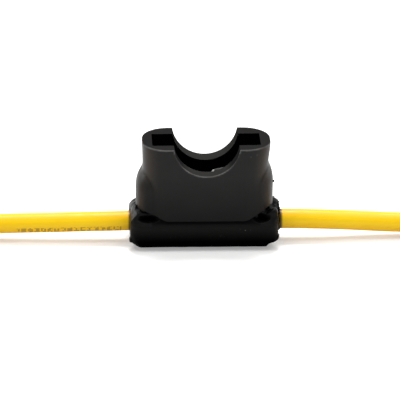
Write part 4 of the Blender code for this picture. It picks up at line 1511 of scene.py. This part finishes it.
def sleeve():
    """The boot as an exact solid: its outer form and collar, less the room for housing and leads."""
    made = boot_form("boot", 0.0)
    combine(made, round_bar("collar", COLLAR_RADIUS, BORE_END, COLLAR_END, COLLAR_HEIGHT), "UNION")
    width = CORE_WIDTH + 2 * SLEEVE_CLEARANCE
    depth = CORE_DEPTH + 2 * SLEEVE_CLEARANCE
    cavity = box_outline(width, depth, CORE_RADIUS + SLEEVE_CLEARANCE)
    combine(made, prism("cavity", cavity, "XY", SLEEVE_FLOOR, BOOT_HEIGHT + OVERRUN), "DIFFERENCE")
    for side in SIDES.values():
        inner, outer = sorted((side * CORE_WIDTH / 2, side * BORE_END))
        combine(made, round_bar("bore", BORE_RADIUS, inner, outer, WIRE_HEIGHT), "DIFFERENCE")
        inner, outer = sorted((side * CORE_WIDTH / 2, side * (COLLAR_END + OVERRUN)))
        combine(made, round_bar("lead_hole", LEAD_HOLE_RADIUS, inner, outer, WIRE_HEIGHT), "DIFFERENCE")
    return made


def give_skin(piece):
    """Turns a piece into small even faces, with its edges softened."""
    remesh = piece.modifiers.new("Skin", "REMESH")
    remesh.mode = "VOXEL"
    remesh.voxel_size = SKIN_VOXEL
    soften = piece.modifiers.new("Soften", "SMOOTH")
    soften.factor = 0.5
    soften.iterations = SKIN_SMOOTHINGS
    apply_modifiers(piece)


boot = sleeve()
give_skin(boot)
print("boot:", len(boot.data.polygons), "faces")

# %% [markdown]
# A push has a place, a reach along each axis, and a move in millimetres. It is full strength round its
# place and falls off smoothly to nothing at its reach. The last number says how much painted shade the
# place gets: the finish paints it black, as the shade where the light doesn't get in.

# %% Pushes
FALL_OFF = 0.55  # the share of a push's reach over which it fades
PUSHES = [
    # the lip stands off the housing at each corner, and leaves a pocket there that is painted dark as shade
    ((-10.7, -5.5, 6.3), (2.4, 1.7, 0.8), (0.0, 0.8, -0.3), 1.0),
    ((10.2, -5.4, 6.4), (2.0, 1.7, 1.0), (0.0, 0.8, -0.3), 1.0),
    ((-11.0, 5.5, 6.25), (2.5, 1.7, 0.9), (0.0, -0.7, -0.2), 0.7),
    ((10.2, 5.4, 6.4), (2.0, 1.7, 1.0), (0.0, -0.7, -0.2), 0.7),
    # the right end: the flap behind, bent out, and a swelling in front of it
    ((12.8, 3.4, 7.8), (2.0, 2.8, 1.7), (0.2, -0.2, -0.55), 0.0),
    ((13.3, 1.9, 6.9), (1.2, 1.9, 1.0), (0.7, 0.0, 0.1), 0.0),
    ((12.4, -4.0, 6.9), (1.1, 1.3, 1.0), (0.2, -0.35, 0.5), 0.0),
    # the left end: the lip rides up the lug in front, and sags behind
    ((-12.5, -3.2, 6.9), (1.2, 1.8, 1.2), (0.0, 0.0, 0.5), 0.0),
    ((-13.2, -1.4, 6.9), (1.2, 2.0, 1.2), (0.0, 0.0, 0.8), 0.0),
    ((-13.0, 4.6, 6.6), (1.9, 2.6, 1.6), (0.0, 0.0, -0.38), 0.0),
    ((-13.8, 1.0, 5.6), (1.3, 5.5, 2.2), (-0.14, 0.0, 0.0), 0.0),
    # each end has a spur at its lower corner, and is cut off below it
    ((-13.6, -5.4, 0.2), (1.8, 2.6, 1.5), (0.55, 0.3, 0.45), 0.0),
    ((13.0, -5.4, 0.2), (2.2, 2.6, 1.6), (-0.5, 0.3, 0.6), 0.0),
    ((-13.9, -4.4, 1.8), (0.8, 1.5, 0.7), (-0.2, -0.05, 0.0), 0.0),
    ((13.2, -4.2, 2.1), (0.7, 1.4, 0.7), (0.25, -0.05, 0.1), 0.0),
]


def push(places, middle, reach, move):
    """Moves the points near the middle, the nearer the further, and returns how near each one was."""
    away = (places - np.array(middle) * MM) / (np.array(reach) * MM)
    nearness = smooth_step((1.0 - np.sqrt((away ** 2).sum(axis=1))) / FALL_OFF)
    places += nearness[:, None] * np.array(move) * MM
    return nearness


# %% Lip, creases and torn collar
TUCK = 0.30 * MM  # how far the lip draws in under the housing's edge
TUCK_HEIGHTS = (4.8 * MM, 5.6 * MM)
TUCKED_SHADE = 0.6
TUCKED_LENGTH = 10 * MM  # out along x
CREASE_WIDTH = {-1: 0.12 * MM, 1: 0.6 * MM}  # round the foot of each lug
CREASE_DEPTH = {-1: 0.1 * MM, 1: 0.5 * MM}
CREASE_FADE = 1.4  # how far out it ends, in crease widths
CREASE_FOOT = 5.6 * MM  # it is in the upper part of the boot only
CREASE_RISE = 0.5 * MM
CREASE_OUT = 10.2 * MM  # along x
BOOT_CREASE_SHADE = 0.8
COLLAR_TEARS = ((2.6, 4.0, 0.30), (9.0, 9.0, 0.14))  # how many lumps, where in the noise, and how deep in mm
COLLAR_TORN_BACK = 0.16  # millimetres, on the whole
COLLAR_ROOM = 0.6 * MM  # round the collar, for points that still belong to it
WAVE_LENGTH = 2.2 * MM
WAVE_DEPTH = 0.035 * MM
WAVE_SEED = 7  # without a seed the waves would differ each time


def tuck_in(places):
    """Draws the lip in along both long sides, so that the housing's edge stands over it."""
    rise = smooth_step((places[:, 2] - TUCK_HEIGHTS[0]) / (TUCK_HEIGHTS[1] - TUCK_HEIGHTS[0]))
    outer = smooth_step((np.abs(places[:, 1]) - CORE_DEPTH / 2) / MM)
    places[:, 1] -= np.sign(places[:, 1]) * TUCK * rise * outer
    return rise * outer


def crease(places):
    """Sinks the rubber close round the foot of each lug."""
    away = lug_distance(places) / by_side(places[:, 0], CREASE_WIDTH)
    near = smooth_step(CREASE_FADE - away) * smooth_step((places[:, 2] - CREASE_FOOT) / CREASE_RISE)
    near *= smooth_step((np.abs(places[:, 0]) - CREASE_OUT) / MM)
    places[:, 2] -= near * by_side(places[:, 0], CREASE_DEPTH)
    return near


def ragged_collar(places):
    """Tears the end of the collar back by uneven amounts round the lead, and returns a share there that the
    finish paints black as shade.
    """
    past = np.clip((places[:, 0] - BOOT_RIGHT) / (COLLAR_END - BOOT_RIGHT), 0.0, 1.0)
    around = np.hypot(places[:, 1], places[:, 2] - WIRE_HEIGHT) < COLLAR_RADIUS + COLLAR_ROOM
    past = np.where(around, past, 0.0)
    for i in np.nonzero(past > 0.0)[0]:
        angle = math.atan2(places[i, 2] - WIRE_HEIGHT, places[i, 1])
        torn = COLLAR_TORN_BACK
        for lumps, layer, depth in COLLAR_TEARS:
            torn += depth * noise.noise((math.cos(angle) * lumps, math.sin(angle) * lumps, layer))
        places[i, 0] -= past[i] * torn * MM
    return smooth_step(past * 4)


def waviness(places):
    """The slow unevenness of handled rubber, a few hundredths of a millimetre."""
    noise.seed_set(WAVE_SEED)
    for i in range(len(places)):
        spot = Vector(places[i]) / WAVE_LENGTH
        places[i] += np.array(noise.noise_vector(spot)) * WAVE_DEPTH


places = mesh_places(boot.data)
# painted shade: the tucked lip, the pushed pockets, the creases and the torn collar are painted black
hollow_shade = TUCKED_SHADE * tuck_in(places) * (np.abs(places[:, 0]) < TUCKED_LENGTH)
for middle, reach, move, depth in PUSHES:
    hollow_shade = np.maximum(hollow_shade, depth * push(places, middle, reach, move))
hollow_shade = np.maximum(hollow_shade, BOOT_CREASE_SHADE * crease(places))
hollow_shade = np.maximum(hollow_shade, ragged_collar(places))
waviness(places)
boot.data.vertices.foreach_set("co", places.ravel())
keep_values(boot.data, "hollow_shade", "POINT", hollow_shade)
boot.data.shade_smooth()
paint(boot, boot_rubber)
boot.name = "rubber_boot"
print("boot pushed at", len(PUSHES), "places")

# %% [markdown]
# ## Ties
#
# A small nylon tie holds each folded lead. Its strap goes once round both runs, up through the window
# of a square head, and ends in a stub that was cut at a slant. The strap is a flat section carried
# round its loop. The ladder of teeth on the stub is one small bar, repeated at an even pitch. Both
# follow a rule, so a tree makes each.

# %% Strap tree
TIE_X = 58.0 * MM
TIE_Y = 1.5 * MM
TIE_WIDTH = 2.5 * MM
TIE_THICKNESS = 0.8 * MM
TIE_ROOM_WIDTH = 2 * LEAD_DIAMETER + 1.5 * MM
TIE_ROOM_HEIGHT = LEAD_DIAMETER + 0.6 * MM
TIE_ROUNDING = 0.22 * MM
STRAP_SIZES = {"Width": TIE_WIDTH, "Thickness": TIE_THICKNESS, "Rounding": TIE_ROUNDING}
TOOTH_PITCH = 0.5 * MM
TOOTH_WIDTH = 1.5 * MM
TOOTH_HEIGHT = 0.14 * MM
STUB_LENGTH = 2.4 * MM
TEETH_SIZES = {
    "Count": int(STUB_LENGTH / TOOTH_PITCH), "Pitch": TOOTH_PITCH, "Tooth width": TOOTH_WIDTH,
    "Tooth height": TOOTH_HEIGHT,
}


def strap_tree():
    """A flat strap along a curve, with its edges rounded."""
    tree, sizes = geometry_tree("flat_strap", STRAP_SIZES)
    flat = add(tree, "GeometryNodeCurvePrimitiveQuadrilateral", {
        "Width": sizes["Width"], "Height": sizes["Thickness"],
    })
    rounded = {"Curve": flat.outputs[0], "Radius": sizes["Rounding"], "Count": 3}
    section = add(tree, "GeometryNodeFilletCurve", rounded, mode="POLY").outputs[0]
    end_tree(tree, swept(tree, sizes["Geometry"], section, smooth=False), tie_nylon)
    return tree


def teeth_tree():
    """A ladder of small bars, one above the other."""
    tree, sizes = geometry_tree("ladder_of_teeth", TEETH_SIZES)
    step = add(tree, "ShaderNodeCombineXYZ", {"Z": sizes["Pitch"]})
    line = add(tree, "GeometryNodeMeshLine", {"Count": sizes["Count"], "Offset": step.outputs[0]})
    size = add(tree, "ShaderNodeCombineXYZ", {
        "X": sizes["Tooth width"], "Y": sizes["Tooth height"], "Z": product(tree, sizes["Pitch"], 0.5),
    })
    bar = add(tree, "GeometryNodeMeshCube", {"Size": size.outputs[0]})
    bars = add(tree, "GeometryNodeInstanceOnPoints", {"Points": line.outputs[0], "Instance": bar.outputs[0]})
    end_tree(tree, bars.outputs[0], tie_nylon)
    return tree


# %% [markdown]
# The head is a short loft with a rounded top. Its window is cut by another loft that widens at the
# mouth, as the slot's cutter does.

# %% Heads
TIE_HEAD = 4.0 * MM
TIE_HEAD_LOW = TIE_ROOM_HEIGHT + 1.3 * MM
TIE_HEAD_TOP = TIE_ROOM_HEIGHT + 3.4 * MM
TIE_HEAD_ROUNDING = 0.35 * MM
TIE_HEAD_CORNER = 0.6 * MM
TIE_WINDOW = (2.9 * MM, 1.7 * MM)
TIE_WINDOW_CORNER = 0.3 * MM
WINDOW_FLARE = 0.2 * MM
WINDOW_LEVELS = (  # height, and how much wider it is there
    (TIE_HEAD_LOW - MM, 0.0), (TIE_HEAD_TOP - 0.3 * MM, 0.0), (TIE_HEAD_TOP + HAIR, WINDOW_FLARE),
)


def tie_head(x):
    """The square head with rounded edges and a window that widens at its mouth."""
    levels = [(TIE_HEAD_LOW, 0.0)]
    levels += [(TIE_HEAD_TOP - below, inset) for below, inset in quarter(TIE_HEAD_ROUNDING)]
    rings = []
    for height, inset in levels:
        width = TIE_HEAD - 2 * inset
        rings.append(at_height(box_outline(width, width, TIE_HEAD_CORNER - inset, (x, TIE_Y)), height))
    head = loft("head", np.array(rings))
    rings = []
    for height, growth in WINDOW_LEVELS:
        width, depth = (size + 2 * growth for size in TIE_WINDOW)
        rings.append(at_height(box_outline(width, depth, TIE_WINDOW_CORNER, (x, TIE_Y)), height))
    combine(head, loft("window", np.array(rings)), "DIFFERENCE")
    paint(head, tie_nylon)
    return head


def join(name, pieces):
    """One object from several, with their meshes side by side."""
    edit = bmesh.new()
    for piece in pieces:
        edit.from_mesh(piece.data)
        bpy.data.objects.remove(piece, do_unlink=True)
    bmesh.ops.recalc_face_normals(edit, faces=edit.faces)
    mesh = bpy.data.meshes.new(name)
    edit.to_mesh(mesh)
    edit.free()
    made = add_object(name, mesh)
    paint(made, tie_nylon)
    return made


# %% Ties
STUB_Y = TIE_Y - 0.15 * MM
STUB_FOOT = TIE_HEAD_LOW - 0.3 * MM
STUB_TOP = TIE_HEAD_TOP + STUB_LENGTH
STUB_SLANT = 0.35  # how much higher the cut end gets for each step to the right
FIRST_TOOTH = TIE_HEAD_TOP + 0.15 * MM
TEETH_Y = STUB_Y - (TIE_THICKNESS + TOOTH_HEIGHT) / 2 + HAIR
LOOP_STEPS = (1, 16, 1)
TIE_SHARP_ANGLE = math.radians(38)


def tie_loop(x):
    """The closed line of the strap round both runs of the lead."""
    width = TIE_ROOM_WIDTH + TIE_THICKNESS
    height = TIE_ROOM_HEIGHT + TIE_THICKNESS
    middle = (TIE_Y, TIE_THICKNESS + TIE_ROOM_HEIGHT / 2)
    outline = box_outline(width, height, height / 2 - HAIR, middle, LOOP_STEPS)
    loop = line_curve("tie_loop", np.column_stack([np.full(len(outline), x), outline]))
    loop.splines[0].use_cyclic_u = True
    return loop


def tie_stub(x):
    """The strap's end over the head, cut at a slant."""
    line = line_curve("tie_stub", np.array([(x, STUB_Y, STUB_FOOT), (x, STUB_Y, STUB_TOP)]))
    stub = grow("stub", line, strap, STRAP_SIZES)
    for vertex in stub.data.vertices:
        if vertex.co.z > TIE_HEAD_TOP:
            vertex.co.z += STUB_SLANT * (vertex.co.x - x)
    return stub


ties = {}
strap = strap_tree()
teeth = teeth_tree()
for word, side in SIDES.items():
    x = side * TIE_X
    band = grow("band", tie_loop(x), strap, STRAP_SIZES)
    stub = tie_stub(x)
    ladder = grow("ladder", bpy.data.meshes.new("ladder_seed"), teeth, TEETH_SIZES)
    ladder.data.transform(Matrix.Translation((x, TEETH_Y, FIRST_TOOTH)))
    ties[word] = join("nylon_tie_" + word, [band, stub, ladder, tie_head(x)])
    shade(ties[word], TIE_SHARP_ANGLE)
    print(ties[word].name, len(ties[word].data.polygons), "faces")

# %% [markdown]
# ## Contacts
#
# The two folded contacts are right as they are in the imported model, so they only get their metal.

# %% Contacts
for word in SIDES:
    paint(nodes["contact_" + word], contact_brass)
    print("contact_" + word, "is tinned brass")

# %% [markdown]
# ## The frame
#
# Last, every piece is tied to the model. Nothing on the holder moves, so everything rides on the one
# body. Each finer piece hides the plain solid that it stands for, and the length of each lead outside
# the boot is printed.

# %% Tie the pieces to the model
stands_for = []
for word in SIDES:
    stands_for += [
        (leads[word], "lead_" + word, "lead_insulation"),
        (bare[word], "bare_strands_" + word, "strand_copper"),
        (crimped[word], "crimped_strands_" + word, "strand_copper"),
        (ties[word], "tie_" + word, "tie_nylon"),
    ]
stands_for += [(housing, "socket_housing", "housing_plastic"), (boot, "base_boot", "boot_rubber")]

for piece, node, slot in stands_for:
    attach(piece, "root")
    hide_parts(node)
    print(piece.name, "stands for", node)

for word in SIDES:
    line = lead_lines[word]
    outside = line[np.abs(line[:, 0]) > abs(BOOT_ENDS[word])]
    length = np.linalg.norm(np.diff(outside, axis=0), axis=1).sum()
    print(word, "lead outside the boot:", round(length / MM, 1), "mm")
    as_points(line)

# %% Size of the model and of the scene
visual_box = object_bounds()
sizes = {"cad": [list(corner) for corner in cad_box], "visual": [list(corner) for corner in visual_box]}
print("model:", [round(v / MM, 2) for v in cad_box[1] - cad_box[0]])
print("scene:", [round(v / MM, 2) for v in visual_box[1] - visual_box[0]])
